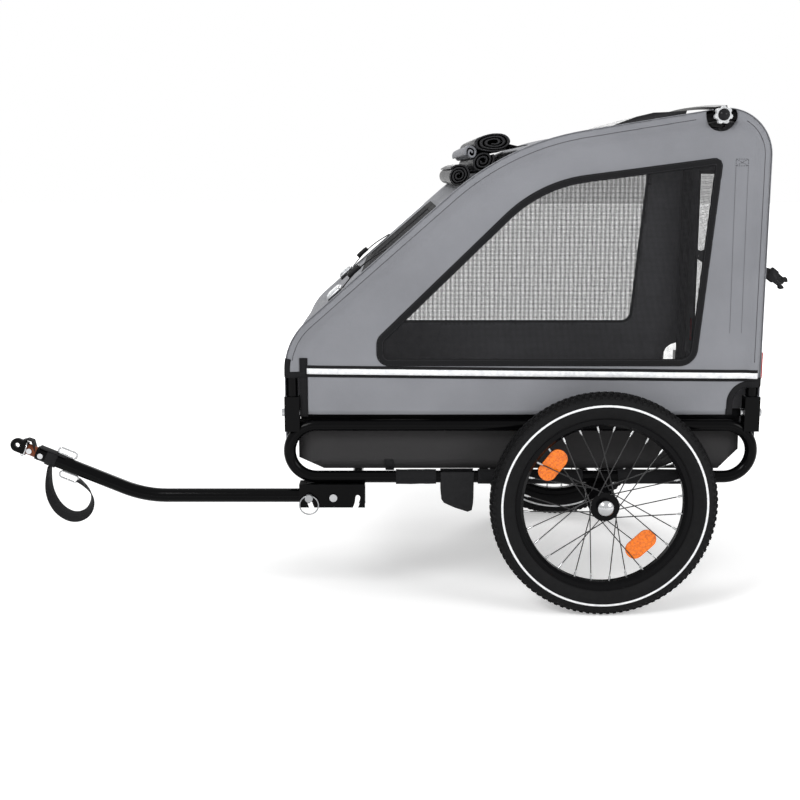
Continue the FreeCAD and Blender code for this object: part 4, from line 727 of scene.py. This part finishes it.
def window_mesh(name, side):
    """Open mesh sewn behind the window's edge."""
    node = f"{name}_window_mesh"
    out = Y_AXIS * side
    source = faces_of(node, lambda face: face.normal.dot(out) > 0.9)
    loop = loops_of(source)[0]
    source.free()
    for spot in loop:
        spot.y = middle(node).y + side * 0.0002
    bm = mesh_threads(loop, (X_AXIS, Z_AXIS), out, FINE_NET)
    on_side(name, "window_net", bm, "mesh", node, smooth=False)


SLOPE_FOOT = Vector((-0.1154, 0, 0.5637))
SLOPE = Vector((0.7530, 0, 0.6580)).normalized()
SLOPE_OUT = Vector((-SLOPE.z, 0, SLOPE.x))
SLOPED = (SLOPE, Y_AXIS, SLOPE_OUT)
REAR_X = 0.648
CLOTH_WINDOWS = {
    # direction that the window is measured along, its start, end and half width
    "front": (X_AXIS, -0.060, 0.066, 0.205),
    "rear": (Z_AXIS, 0.405, 0.790, 0.236),
}
WINDOW_GAP = 0.0066
# Height at which the folding cloth ends and the apron on the chassis begins
HEM = 0.392


def cut_window(bm, place, side):
    """Cuts the cloth along its hem and the edges of its mesh window, and finds the faces inside."""
    along, start, end, wide = CLOTH_WINDOWS[place]
    slice_at(bm, along * start, along)
    slice_at(bm, along * end, along)
    slice_at(bm, Y_AXIS * side * wide, Y_AXIS)
    slice_at(bm, Z_AXIS * HEM, Z_AXIS)

    def inside(face):
        spot = face.calc_center_median()
        return start < spot.dot(along) < end and abs(spot.y) < wide

    return inside


def cloth_window(name, side, place, tree):
    """Mesh window in the front or rear fabric, with its binding."""
    _, start, end, wide = CLOTH_WINDOWS[place]
    out, rise, net = (SLOPE_OUT, SLOPE, FINE_NET) if place == "front" else (X_AXIS, Z_AXIS, COARSE_NET)
    corners = []
    for at, y in ((start, WINDOW_GAP), (start, wide), (end, wide), (end, WINDOW_GAP)):
        if place == "front":
            spot = SLOPE_FOOT + SLOPE * ((at - SLOPE_FOOT.x) / SLOPE.x)
        else:
            spot = Vector((REAR_X, 0, at))
        spot = drape(tree, spot + Y_AXIS * side * (wide + 0.014), out, 0.0008)
        corners.append(Vector((spot.x, side * y, spot.z)))
    bm = mesh_threads(corners, (Y_AXIS, rise), out, net)
    threads = on_side(name, f"{place}_net", bm, "mesh", smooth=False)
    ring = spaced(corners, 0.006)
    bm = strip(ring, sways(ring, out), out, flat_section(0.0078, 0.0026, -0.0014), closed=True)
    binding = on_side(name, f"{place}_binding", bm, "black_fabric")
    for soft in (threads, binding):
        fold_with(soft)


# How far the cloth falls in at its foot and higher up, within what width, and how deep its creases are
SAG = {
    ("cloth", "front"): (-0.0008, 0.0042, 0.050, 1.0),
    ("cloth", "rear"): (-0.0024, -0.0024, 0.030, 0.3),
    ("apron", "front"): (-0.0046, -0.0046, 0.025, 0.6),
    ("apron", "rear"): (-0.0042, -0.0042, 0.020, 0.0),
}
SAG_LOW, SAG_RISE = 0.44, 0.09


def billow(bm, edge_y, foot, top, ramp, crease):
    """Lets a cloth fall in or stand out between the hoops, with soft creases."""
    bm.normal_update()
    for vert in bm.verts:
        inside = clamp((edge_y - abs(vert.co.y)) / ramp)
        inside *= inside * (3 - 2 * inside)
        high = clamp((vert.co.z - SAG_LOW) / SAG_RISE)
        fall = foot + (top - foot) * high
        fall += crease * (0.0006 + 0.0011 * high) * creases(vert.co, 0.09, (1, 0.6, 1))
        fall += crease * 0.0005 * creases(vert.co, 0.03)
        vert.co -= vert.normal * fall * inside


def end_panel(name, side, place):
    """Half of the front and roof fabric, or of the rear fabric, and the apron below its hem."""
    node = f"{name}_{place}_panel"

    def outside(face):
        away = face.calc_center_median() - CABIN_MIDDLE
        return abs(face.normal.y) < 0.5 and face.normal.dot(away) > 0.02

    def low(face):
        return face.calc_center_median().z < HEM

    bm = faces_of(node, outside)
    inside_window = cut_window(bm, place, side)
    grid(bm, 0.016, Y_AXIS, Z_AXIS, X_AXIS)
    apron = bm.copy()
    open_faces = [face for face in bm.faces if inside_window(face) or low(face)]
    bmesh.ops.delete(bm, geom=open_faces, context="FACES")
    bmesh.ops.delete(apron, geom=[face for face in apron.faces if not low(face)], context="FACES")
    edge_y = abs(middle(f"{name}_hoop").y) - HOOP_R
    made = []
    for label, part, body, held_by, replaced in (
        ("cloth", bm, f"{name}_side", f"{name}_hoop", [node]),
        ("apron", apron, "chassis", "hinge_brackets", []),
    ):
        billow(part, edge_y, *SAG[label, place])
        cut = sum(face.calc_area() for face in part.faces)
        cloth = piece(f"{name}_{place}_{label}", part, body, "grey_fabric", *replaced, looks=GREY_OUT_SHADE_IN)
        thicken(cloth)
        made.append(cloth)
    tree = search_tree(made[0])
    fold_with(made[0])
    return tree


def fold_with(obj):
    """Gives a soft piece on the front, roof or rear a mesh of its own."""
    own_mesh(obj)


def stripe(name, side, tree):
    """Reflective stripe on a wider black tape, along the lower part of the side panel."""
    out = Y_AXIS * side
    low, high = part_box(f"{name}_side_panel")
    y = (low.y if side < 0 else high.y) + side * FABRIC
    front, rear = Vector((-0.158, y, 0.4365)), Vector((high.x - 0.006, y, 0.428))
    spots = [drape(tree, front.lerp(rear, share), out, 0) for share in steps(0, 1, 121)]
    rows = (("tape", "black_fabric", 0.0105, 0), ("stripe", "reflective", 0.0052, 0.0008))
    for label, look, half, lift in rows:
        bm = strip(spots, sways(spots, out, False), out, flat_section(half, 0.0014, lift))
        on_side(name, label, bm, "black_fabric", looks=[look])


FRONT_CLOTH = {}
for name, side in SIDES:
    panel_loops, panel_tree = side_panel(name, side)
    window_binding(name, side, panel_loops[1], panel_tree)
    window_mesh(name, side)
    edge_binding(name, side, panel_loops[0], panel_tree)
    seams(name, side, panel_loops[0], panel_tree)
    stripe(name, side, panel_tree)
    FRONT_CLOTH[name] = end_panel(name, side, "front")
    cloth_window(name, side, "front", FRONT_CLOTH[name])
    cloth_window(name, side, "rear", end_panel(name, side, "rear"))

# Rolled-up cover: cloth wound into rolls that lie on the front slope
Roll = namedtuple("Roll", "x z half_width half_height turns lean end")
ROLLS = (
    Roll(0.1108, 0.7795, 0.0212, 0.0200, 3.2, 0.55, 0.2725),
    Roll(0.1535, 0.8045, 0.0215, 0.0190, 2.6, 0.75, 0.2640),
    Roll(0.1720, 0.8370, 0.0390, 0.0170, 3.2, 0.10, 0.2690),
    Roll(0.1330, 0.8190, 0.0125, 0.0150, 1.6, 0.40, 0.2600),
)
# Share of a roll's radius that is hollow, and of the space between its turns that the cloth fills
ROLL_CORE, ROLL_LAYER = 0.24, 0.56
TURN_STEPS = 26
# Distance of the two sides' cloths from the trailer's middle
HALF_GAP = 0.0006


def spiral(roll, y, seed):
    """Section of a sheet wound into a roll: its outer side, then its inner side back."""
    outer, inner = [], []
    cos, sin = math.cos(roll.lean), math.sin(roll.lean)
    layer = ROLL_LAYER * (1 - ROLL_CORE) / roll.turns
    for share in steps(0, 1, int(roll.turns * TURN_STEPS) + 1):
        angle = seed + 2 * math.pi * roll.turns * share
        around = Vector((math.cos(angle), y * 8, math.sin(angle)))
        fold = 1 + 0.04 * math.sin(2 * angle + seed) + 0.09 * creases(around, 0.7, seed=seed)
        reach = ROLL_CORE + (1 - ROLL_CORE) * share
        for row_reach, spots in ((reach, outer), (reach - layer, inner)):
            across = math.cos(angle) * roll.half_width * row_reach * fold
            rise = math.sin(angle) * roll.half_height * row_reach * fold
            spots.append(Vector((roll.x + across * cos - rise * sin, y, roll.z + across * sin + rise * cos)))
    return outer + inner[::-1]


def wound(bm, roll, side, seed):
    """One roll of cloth from the side to the trailer's middle."""
    rows = skin(bm, [spiral(roll, side * stop, seed) for stop in steps(HALF_GAP, roll.end, 27)])
    for cap in (rows[0], rows[-1]):
        for index in range(len(cap) // 2 - 1):
            bm.faces.new((cap[index], cap[index + 1], cap[-2 - index], cap[-1 - index]))


def cover_roll(name, side):
    """The cover's rolls, the last one with its grey side out, and the lip behind them."""
    bm = bmesh.new()
    for index, roll in enumerate(ROLLS):
        count = len(bm.faces)
        wound(bm, roll, side, 1.7 * index + 0.6)
    bm.faces.ensure_lookup_table()
    for face in bm.faces[count:]:
        face.material_index = 1
    lip = []
    for stop in steps(0.001, 0.263, 25):
        y = side * stop
        wave = 0.0012 * creases(Vector((0, y, 0)), 0.03)
        profile = ((0.196, 0.833 + wave), (0.214, 0.8285 - wave), (0.231, 0.8315))
        lip.append([Vector((x, y, z)) for x, z in profile])
    for one, two in zip(lip, lip[1:]):
        for index in range(2):
            corners = (one[index], one[index + 1], two[index + 1], two[index])
            loft([corners, [spot + Z_AXIS * 0.0016 for spot in corners]], bm=bm)
    looks = ["cover", "grey_fabric"]
    bundle = on_side(name, "cover_bundle", bm, "black_fabric", f"{name}_cover_roll", looks=looks)
    fold_with(bundle)


FLAP_WIDTH = 0.235
# Section of the flap: x, and height over the roof
ROOF_FLAP = (
    (0.372, 0.0012), (0.395, 0.0075), (0.425, 0.0125), (0.455, 0.0145), (0.485, 0.0125), (0.514, 0.0095),
    (0.512, 0.0030), (0.480, 0.0003), (0.450, 0.0003), (0.420, 0.0003), (0.390, 0.0003),
)


def roof_flap(name, side):
    """Black flap folded back on the roof."""
    rings = []
    for stop in steps(HALF_GAP, HALF_GAP + FLAP_WIDTH, 29):
        y = side * stop
        ring = []
        for x, height in ROOF_FLAP:
            foot = drape(FRONT_CLOTH[name], Vector((x, y, 0.88)), Z_AXIS, 0)
            wave = 1 + 0.22 * creases(Vector((x, y, height)), 0.045) if height > 0.002 else 1
            ring.append(foot + Z_AXIS * height * wave)
        rings.append(ring)
    flap = on_side(name, "roof_flap", loft(rings), "black_fabric", looks=["cover"])
    fold_with(flap)


TROUGH_WIDTH = 0.2724
ROOF_TROUGH = (
    (0.5425, 0.8868), (0.5450, 0.8700), (0.5472, 0.8636), (0.5596, 0.8622), (0.5720, 0.8636), (0.5742, 0.8700),
    (0.5770, 0.8905),
)


def roof_trough(name, side):
    """Black cloth that joins the roof and the rear under the roof bar."""
    rings = []
    for stop in steps(HALF_GAP, HALF_GAP + TROUGH_WIDTH, 20):
        spots = [Vector((x, side * stop, z)) for x, z in ROOF_TROUGH]
        rings.append(spots + [spot - Z_AXIS * FABRIC for spot in spots[::-1]])
    trough = on_side(name, "roof_trough", loft(rings), "black_fabric")
    fold_with(trough)


for name, side in SIDES:
    cover_roll(name, side)
    roof_flap(name, side)
    roof_trough(name, side)

# Tub between the rails, and its sleeves
TUB_WALL = 0.004
TUB_NEAR = 0.0005


def tub():
    """Cloth tub, rounder at its front foot than in the CAD, with slack walls and floor."""
    bm = faces_of("tub")
    grid(bm, 0.018, X_AXIS, Y_AXIS, Z_AXIS)
    low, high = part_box("tub")
    corner = min(vert.co.z for vert in bm.verts if vert.co.x < low.x + TUB_NEAR) - low.z
    turn = min(vert.co.x for vert in bm.verts if vert.co.z < low.z + TUB_NEAR)
    for vert in bm.verts:
        share = clamp((turn - vert.co.x) / (turn - low.x))
        foot = low.z + corner * share
        vert.co.z -= 0.45 * corner * share * (high.z - vert.co.z) / (high.z - foot)
        vert.co.x -= 0.0095 * share
        if abs(vert.co.y) > high.y - TUB_WALL:
            inward = 0.003 + 0.0035 * creases(vert.co, 0.1, (1, 0, 1))
            inward += 0.001 * creases(vert.co, 0.03, (1, 0, 1))
            rise = clamp((vert.co.z - low.z) / 0.02)
            vert.co.y -= math.copysign(max(0.0005, inward) * rise, vert.co.y)
        elif vert.co.z < low.z + TUB_WALL:
            vert.co.z += 0.0015 * (1 + creases(vert.co, 0.12, (1, 1, 0)))
    cloth = piece("tub_cloth", bm, "chassis", "black_fabric", "tub", looks=["tub_fabric"])


SKIRT_FRONT, SKIRT_LENGTH = -0.172, 0.796
SKIRT_LOW, SKIRT_HIGH = 0.338, 0.364


def tub_skirt(name, side):
    """Upper edge of the tub, which closes the gap below the side panel, and a small strap end."""
    rings = []
    for x in steps(SKIRT_FRONT, SKIRT_FRONT + SKIRT_LENGTH, 67):
        y = side * (0.2703 - 0.0012 * abs(creases(Vector((x, side, 0)), 0.06)))
        rings.append(upright_ring((x, SKIRT_LOW), (x, SKIRT_HIGH), y, side))
    skirt = piece(f"tub_skirt_{name}", loft(rings), "chassis", "black_fabric")
    spots = []
    for index, x in enumerate(steps(-0.0125, -0.0105, 9)):
        y = side * (0.2725 + 0.0015 * math.sin(index * 0.6))
        spots.append(Vector((x, y, 0.270 - 0.0025 * index)))
    bm = strip(spots, X_AXIS, Y_AXIS * side, flat_section(0.008, WEBBING))
    piece(f"tub_tab_{name}", bm, "chassis", "webbing")


def tub_sleeves():
    """Sleeves of the tub round the lower rails, gathered a little."""
    bm = faces_of("tub_sleeves")
    grid(bm, 0.007, X_AXIS)
    height = middle("tub_sleeves").z
    reach = abs(middle("left_side_rail").y)
    for vert in bm.verts:
        away = vert.co - Vector((vert.co.x, math.copysign(reach, vert.co.y), height))
        fold = 0.0007 * (1 + creases(vert.co, 0.012, (1, 0.35, 0.35)))
        vert.co += away.normalized() * fold
    sleeves = piece("tub_sleeve_cloth", bm, "chassis", "black_fabric", "tub_sleeves")


tub()
tub_sleeves()
for name, side in SIDES:
    tub_skirt(name, side)

# Small fittings


def round_corners(half_u, half_v, corner):
    """Outline of a rectangle with round corners, as (u, v)."""
    found = []
    for turn, (u, v) in enumerate(((1, 1), (-1, 1), (-1, -1), (1, -1))):
        for share in steps(0, 1, 6):
            angle = math.pi / 2 * (turn + share)
            along = u * (half_u - corner) + corner * math.cos(angle)
            found.append((along, v * (half_v - corner) + corner * math.sin(angle)))
    return found


def surround(centre, ways, outer, inner, low, high, corner=0.004):
    """Frame round a flat fitting. Ways are its two sides and the direction out."""
    rings = []
    for half, height in ((outer, low), (outer, high - 0.0006), (inner, high), (inner, low)):
        outline = round_corners(*half, corner)
        rings.append([centre + ways[0] * u + ways[1] * v + ways[2] * height for u, v in outline])
    return loft(rings, closed=True)


def prism(outline, centre, ways, half, bm=None):
    """Plate of an outline of (u, v) points, with its edges eased."""
    middle_u = sum(u for u, _ in outline) / len(outline)
    rings = []
    for share, height in ((0.94, -half), (1.0, -half * 0.7), (1.0, half * 0.7), (0.94, half)):
        ring = []
        for u, v in outline:
            along = middle_u + (u - middle_u) * (1 - (1 - share) * 0.5)
            ring.append(centre + ways[0] * along + ways[1] * v * share + ways[2] * height)
        rings.append(ring)
    return loft(rings, bm=bm)


def reflector_frames(name):
    """Rims and bases of the front and rear reflectors."""
    front, rear = middle(f"{name}_front_reflector"), middle(f"{name}_rear_reflector")
    bm = surround(front, SLOPED, (0.0152, 0.0324), (0.0122, 0.0294), -0.0040, 0.0026)
    on_side(name, "front_reflector_rim", bm, "steel")
    bm = surround(front, SLOPED, (0.0166, 0.0338), (0.0110, 0.0280), -0.0085, -0.0028)
    on_side(name, "front_reflector_base", bm, "black_plastic")
    bm = surround(rear, (Z_AXIS, Y_AXIS, X_AXIS), (0.0272, 0.0192), (0.0234, 0.0154), -0.0045, 0.0012)
    on_side(name, "rear_reflector_base", bm, "black_plastic")


BUCKLE_HALF = 0.0028


def front_strap(name, side):
    """Strap and its ladder buckle beside the front slope."""
    spots = []
    for share in steps(0, 1, 25):
        spot = SLOPE_FOOT + SLOPE * (0.028 + 0.105 * share) + Y_AXIS * side * 0.2605
        lift = 0.0012 + 0.0062 * math.sin(math.pi * share)
        spots.append(drape(FRONT_CLOTH[name], spot, SLOPE_OUT, lift))
    bm = strip(spots, Y_AXIS, SLOPE_OUT, flat_section(0.0110, WEBBING))
    on_side(name, "front_strap", bm, "webbing")
    seat = spots[8] + SLOPE_OUT * 0.0042
    bm = surround(seat, SLOPED, (0.0135, 0.0150), (0.0085, 0.0112), -0.0042, 0.0050, 0.003)
    prism(round_corners(0.0022, 0.0122, 0.001), seat, SLOPED, BUCKLE_HALF, bm)
    on_side(name, "front_buckle", bm, "black_plastic")


# Lower half of the rear buckle's outline
BUCKLE = (
    (0.016, -0.0110), (0.018, -0.0125), (0.030, -0.0125), (0.033, -0.0098), (0.043, -0.0092), (0.046, -0.0128),
    (0.051, -0.0122), (0.055, -0.0078), (0.052, -0.0056), (0.044, -0.0052), (0.036, -0.0050), (0.034, -0.0026),
    (0.049, -0.0022), (0.050, 0.0000),
)


def rear_buckle(name, side):
    """Half of a side-release buckle on a short twisted strap."""
    start = Vector((0.6540, side * 0.256, 0.6190))
    along = Vector((0.800, 0, -0.600)).normalized()
    flat = Vector((-along.z, 0, along.x))
    across = (flat * 0.92 + Y_AXIS * 0.39).normalized()
    out = along.cross(across).normalized()
    outline = list(BUCKLE) + [(u, -v) for u, v in BUCKLE[-2::-1]]
    bm = prism(outline, start, (along, across, out), BUCKLE_HALF)
    on_side(name, "rear_buckle_half", bm, "black_plastic", f"{name}_rear_buckle")
    shares = steps(0, 1, 13)
    spots = [start + along * (0.022 * share) for share in shares]
    acrosses = [Y_AXIS.lerp(across, share).normalized() for share in shares]
    outs = [along.cross(way).normalized() for way in acrosses]
    bm = strip(spots, acrosses, outs, flat_section(0.0100, WEBBING, -WEBBING / 2))
    on_side(name, "rear_buckle_strap", bm, "webbing")


GUSSET_FOOT, GUSSET_HEIGHT = 0.354, 0.106
GUSSET_FRONT, GUSSET_REAR = -0.1712, -0.1570


def corner_gusset(name, side):
    """Black cloth between the hoop's front foot and the side panel."""
    rings = []
    for z in steps(GUSSET_FOOT, GUSSET_FOOT + GUSSET_HEIGHT, 15):
        y = side * (0.2946 + 0.0005 * creases(Vector((0, 0, z)), 0.02))
        rings.append(upright_ring((GUSSET_FRONT, z), (GUSSET_REAR, z), y, side))
    gusset = on_side(name, "corner_gusset", loft(rings), "black_fabric")


CLIP_WALL = 0.0030
CLIP_CHEEK = (
    (0.0815, 0.2525), (0.1415, 0.2525), (0.1412, 0.2060), (0.1390, 0.1935), (0.1310, 0.1905), (0.1060, 0.1990),
    (0.0865, 0.2085), (0.0818, 0.2160),
)


def storage_clip():
    """Clip for the folded drawbar: two tapered cheeks under a clamp."""
    low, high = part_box("storage_clip")
    ways = (X_AXIS, Z_AXIS, Y_AXIS)
    bm = bmesh.new()
    for y in (low.y + CLIP_WALL / 2, high.y - CLIP_WALL / 2):
        prism(CLIP_CHEEK, Vector((0, y, 0)), ways, CLIP_WALL / 2, bm)
    outline = round_corners((high.x - low.x) / 2 - 0.001, 0.0145, 0.003)
    seat = Vector(((low.x + high.x) / 2, (low.y + high.y) / 2, 0.2368))
    prism(outline, seat, ways, (high.y - low.y) / 2 - 0.0008, bm)
    piece("storage_clip_body", bm, "chassis", "black_plastic", "storage_clip", smooth=False)


WRAP_STEPS = 32


def drawbar_webbing():
    """Webbing of the safety strap along the top of the drawbar, and its wrap."""
    tree = search_tree(NODES["drawbar_tube"])
    y = middle("drawbar_tube").y
    spots = [Vector((x, y, z)) for x, z in ((-0.6740, 0.3095), (-0.6640, 0.3120), (-0.6545, 0.3085))]
    for index in range(13):
        spots.append(drape(tree, Vector((-0.6470 + 0.0042 * index, y, 0.29)), Z_AXIS, 0.0012))
    bm = strip(spots, Y_AXIS, sways(spots, -Y_AXIS, False), flat_section(0.0100, 0.0020))
    tops = [drape(tree, Vector((x, y, 0.29)), Z_AXIS, 0) for x in (-0.630, -0.618)]
    way = (tops[1] - tops[0]).normalized()
    up = Y_AXIS.cross(way) * (1 if Y_AXIS.cross(way).z > 0 else -1)
    centre = tops[1] - up * 0.0125
    angles = [2 * math.pi * step / WRAP_STEPS for step in range(WRAP_STEPS)]
    outs = [Y_AXIS * math.cos(angle) + up * math.sin(angle) for angle in angles]
    spots = [centre + out * 0.0127 for out in outs]
    strip(spots, way, outs, flat_section(0.0100, WEBBING), closed=True, bm=bm)
    piece("drawbar_webbing", bm, "drawbar", "webbing")


for name, side in SIDES:
    reflector_frames(name)
    front_strap(name, side)
    rear_buckle(name, side)
    corner_gusset(name, side)
storage_clip()
drawbar_webbing()

# Tyres with their tread
TYRE_STEPS = 144
TYRE_CROWN = 0.1996
TYRE_WALL = 0.0035
# Half of the casing's section: radius, and offset along the axle
TYRE_SECTION = [
    (0.1545, 0.0118), (0.1600, 0.0150), (0.1680, 0.0202), (0.1760, 0.0228), (0.1800, 0.0233),
    (0.1836, 0.0233), (0.1890, 0.0224), (0.1945, 0.0196), (0.1980, 0.0140), (0.1994, 0.0070),
]
RING_SPAN = (0.1800, 0.1836)
RING_OFFSET = 0.0228
TREAD = 0.0034
TREAD_TOP = 0.2029
TREAD_BLOCKS = 104
TREAD_ROWS = (
    # offset along the axle, half width, radius at the foot, shift in blocks
    (0.0, 0.0052, 0.1998, 0.5),
    (0.0098, 0.0040, 0.1985, 0),
    (-0.0098, 0.0040, 0.1985, 0),
    (0.0178, 0.0030, 0.1945, 0.5),
    (-0.0178, 0.0030, 0.1945, 0.5),
)


def spun(centre, radius, offset, angle):
    """Place at a radius from the axle, offset along it, at an angle."""
    return centre + Vector((radius * math.cos(angle), offset, radius * math.sin(angle)))


def tyre(name):
    """Casing with a reflective ring on its walls, and the tread's blocks."""
    centre = middle(f"{name}_tyre")
    outer = TYRE_SECTION + [(TYRE_CROWN, 0)] + [(radius, -offset) for radius, offset in TYRE_SECTION[::-1]]
    inner = [(radius - TYRE_WALL, offset * 0.82) for radius, offset in outer[1:-1]][::-1]
    rings = []
    for step in range(TYRE_STEPS):
        angle = 2 * math.pi * step / TYRE_STEPS
        rings.append([spun(centre, radius, offset, angle) for radius, offset in outer + inner])
    bm = loft(rings, closed=True)
    for face in bm.faces:
        radii = [math.hypot(vert.co.x - centre.x, vert.co.z - centre.z) for vert in face.verts]
        outward = abs(face.calc_center_median().y - centre.y) > RING_OFFSET
        if outward and RING_SPAN[0] - 1e-5 < min(radii) and max(radii) < RING_SPAN[1] + 1e-5:
            face.material_index = 1
    piece(f"{name}_tyre_casing", bm, f"{name}_wheel", "tyre", f"{name}_tyre", looks=["tyre", "reflective"])
    bm = bmesh.new()
    reach = 0.6 * math.pi / TREAD_BLOCKS
    for offset, half, foot, shift in TREAD_ROWS:
        lean = math.atan2(offset, 0.030)
        raised = min(TREAD_TOP, foot + TREAD * math.cos(lean))
        for index in range(TREAD_BLOCKS):
            angle = 2 * math.pi * (index + shift) / TREAD_BLOCKS
            low, top = [], []
            for turn, wide in ((-reach, -half), (-reach, half), (reach, half), (reach, -half)):
                low.append(spun(centre, foot - 0.002, offset + wide, angle + turn))
                sideways = offset + wide * 0.86 + TREAD * math.sin(lean) * 0.7
                top.append(spun(centre, raised, sideways, angle + turn * 0.84))
            loft([low, top], bm=bm)
    piece(f"{name}_tyre_tread", bm, f"{name}_wheel", "tyre", smooth=False)


for name, _ in SIDES:
    tyre(name)

# Floor, light and camera
FLOOR_REACH = 30
LAMPS = (
    # name, place, aim, size, power in watts
    ("key", (-1.6, -2.6, 2.6), (0.1, 0, 0.4), 1.1, 62),
    ("fill", (2.4, -2.0, 1.6), (0.2, 0, 0.4), 1.2, 30),
    ("back", (0.4, 2.8, 2.4), (0.1, 0, 0.5), 1.4, 40),
)
CAMERA_AT = (0.008, -2.460, 0.784)
CAMERA_PITCH = 79.54
CAMERA_LENS = 55.35


def seen(tree):
    """1 for rays by which the camera sees a surface, 0 for those that light it."""
    rays = add(tree, "LightPath").outputs
    direct = add(tree, "Math", rays["Is Camera Ray"], rays["Is Glossy Ray"], operation="MAXIMUM").outputs[0]
    return add(tree, "Math", direct, rays["Is Transmission Ray"], operation="MAXIMUM").outputs[0]


def stage():
    """Pale floor and even studio light."""
    bm = bmesh.new()
    corners = ((-1, -1), (1, -1), (1, 1), (-1, 1))
    bm.faces.new([bm.verts.new((x * FLOOR_REACH, y * FLOOR_REACH, 0)) for x, y in corners])
    floor = shaped("floor", bm)
    look = Look("floor", (0.9, 0.9, 0.9), 0.9, Specular_IOR_Level=0.0, Emission_Color=(1, 1, 1, 1))
    reach = look.node("VectorMath", look.place, operation="LENGTH").outputs["Value"]
    fade = put(look.node("MapRange", reach), From_Min=0.9, From_Max=3.2, To_Min=0.36, To_Max=1.0)
    look.link(look.math("MULTIPLY", seen(look.tree), fade.outputs[0]), "Emission Strength")
    look.tint(look.noise(2, 3), 0.99, 1.01)
    floor.data.materials.append(look.material)

    world = bpy.data.worlds.new("studio")
    bpy.context.scene.world = world
    world.use_nodes = True
    tree = world.node_tree
    back = put(tree.nodes["Background"], Color=(1, 1, 1, 1))
    power = put(add(tree, "MapRange", seen(tree)), To_Min=0.55, To_Max=1.0)
    tree.links.new(power.outputs[0], back.inputs["Strength"])

    for label, at, aim, size, energy in LAMPS:
        lamp = bpy.data.lights.new(label, "AREA")
        lamp.size = size
        lamp.energy = energy
        obj = show(label, lamp)
        obj.location = at
        obj.rotation_euler = (Vector(aim) - Vector(at)).to_track_quat("-Z", "Y").to_euler()


def camera():
    """Camera fitted to the photo."""
    lens = bpy.data.cameras.new("camera")
    lens.lens = CAMERA_LENS
    obj = show("camera", lens)
    obj.location = CAMERA_AT
    obj.rotation_euler = (math.radians(CAMERA_PITCH), 0, 0)
    bpy.context.scene.camera = obj


stage()
camera()
bpy.context.scene.view_settings.view_transform = "Standard"
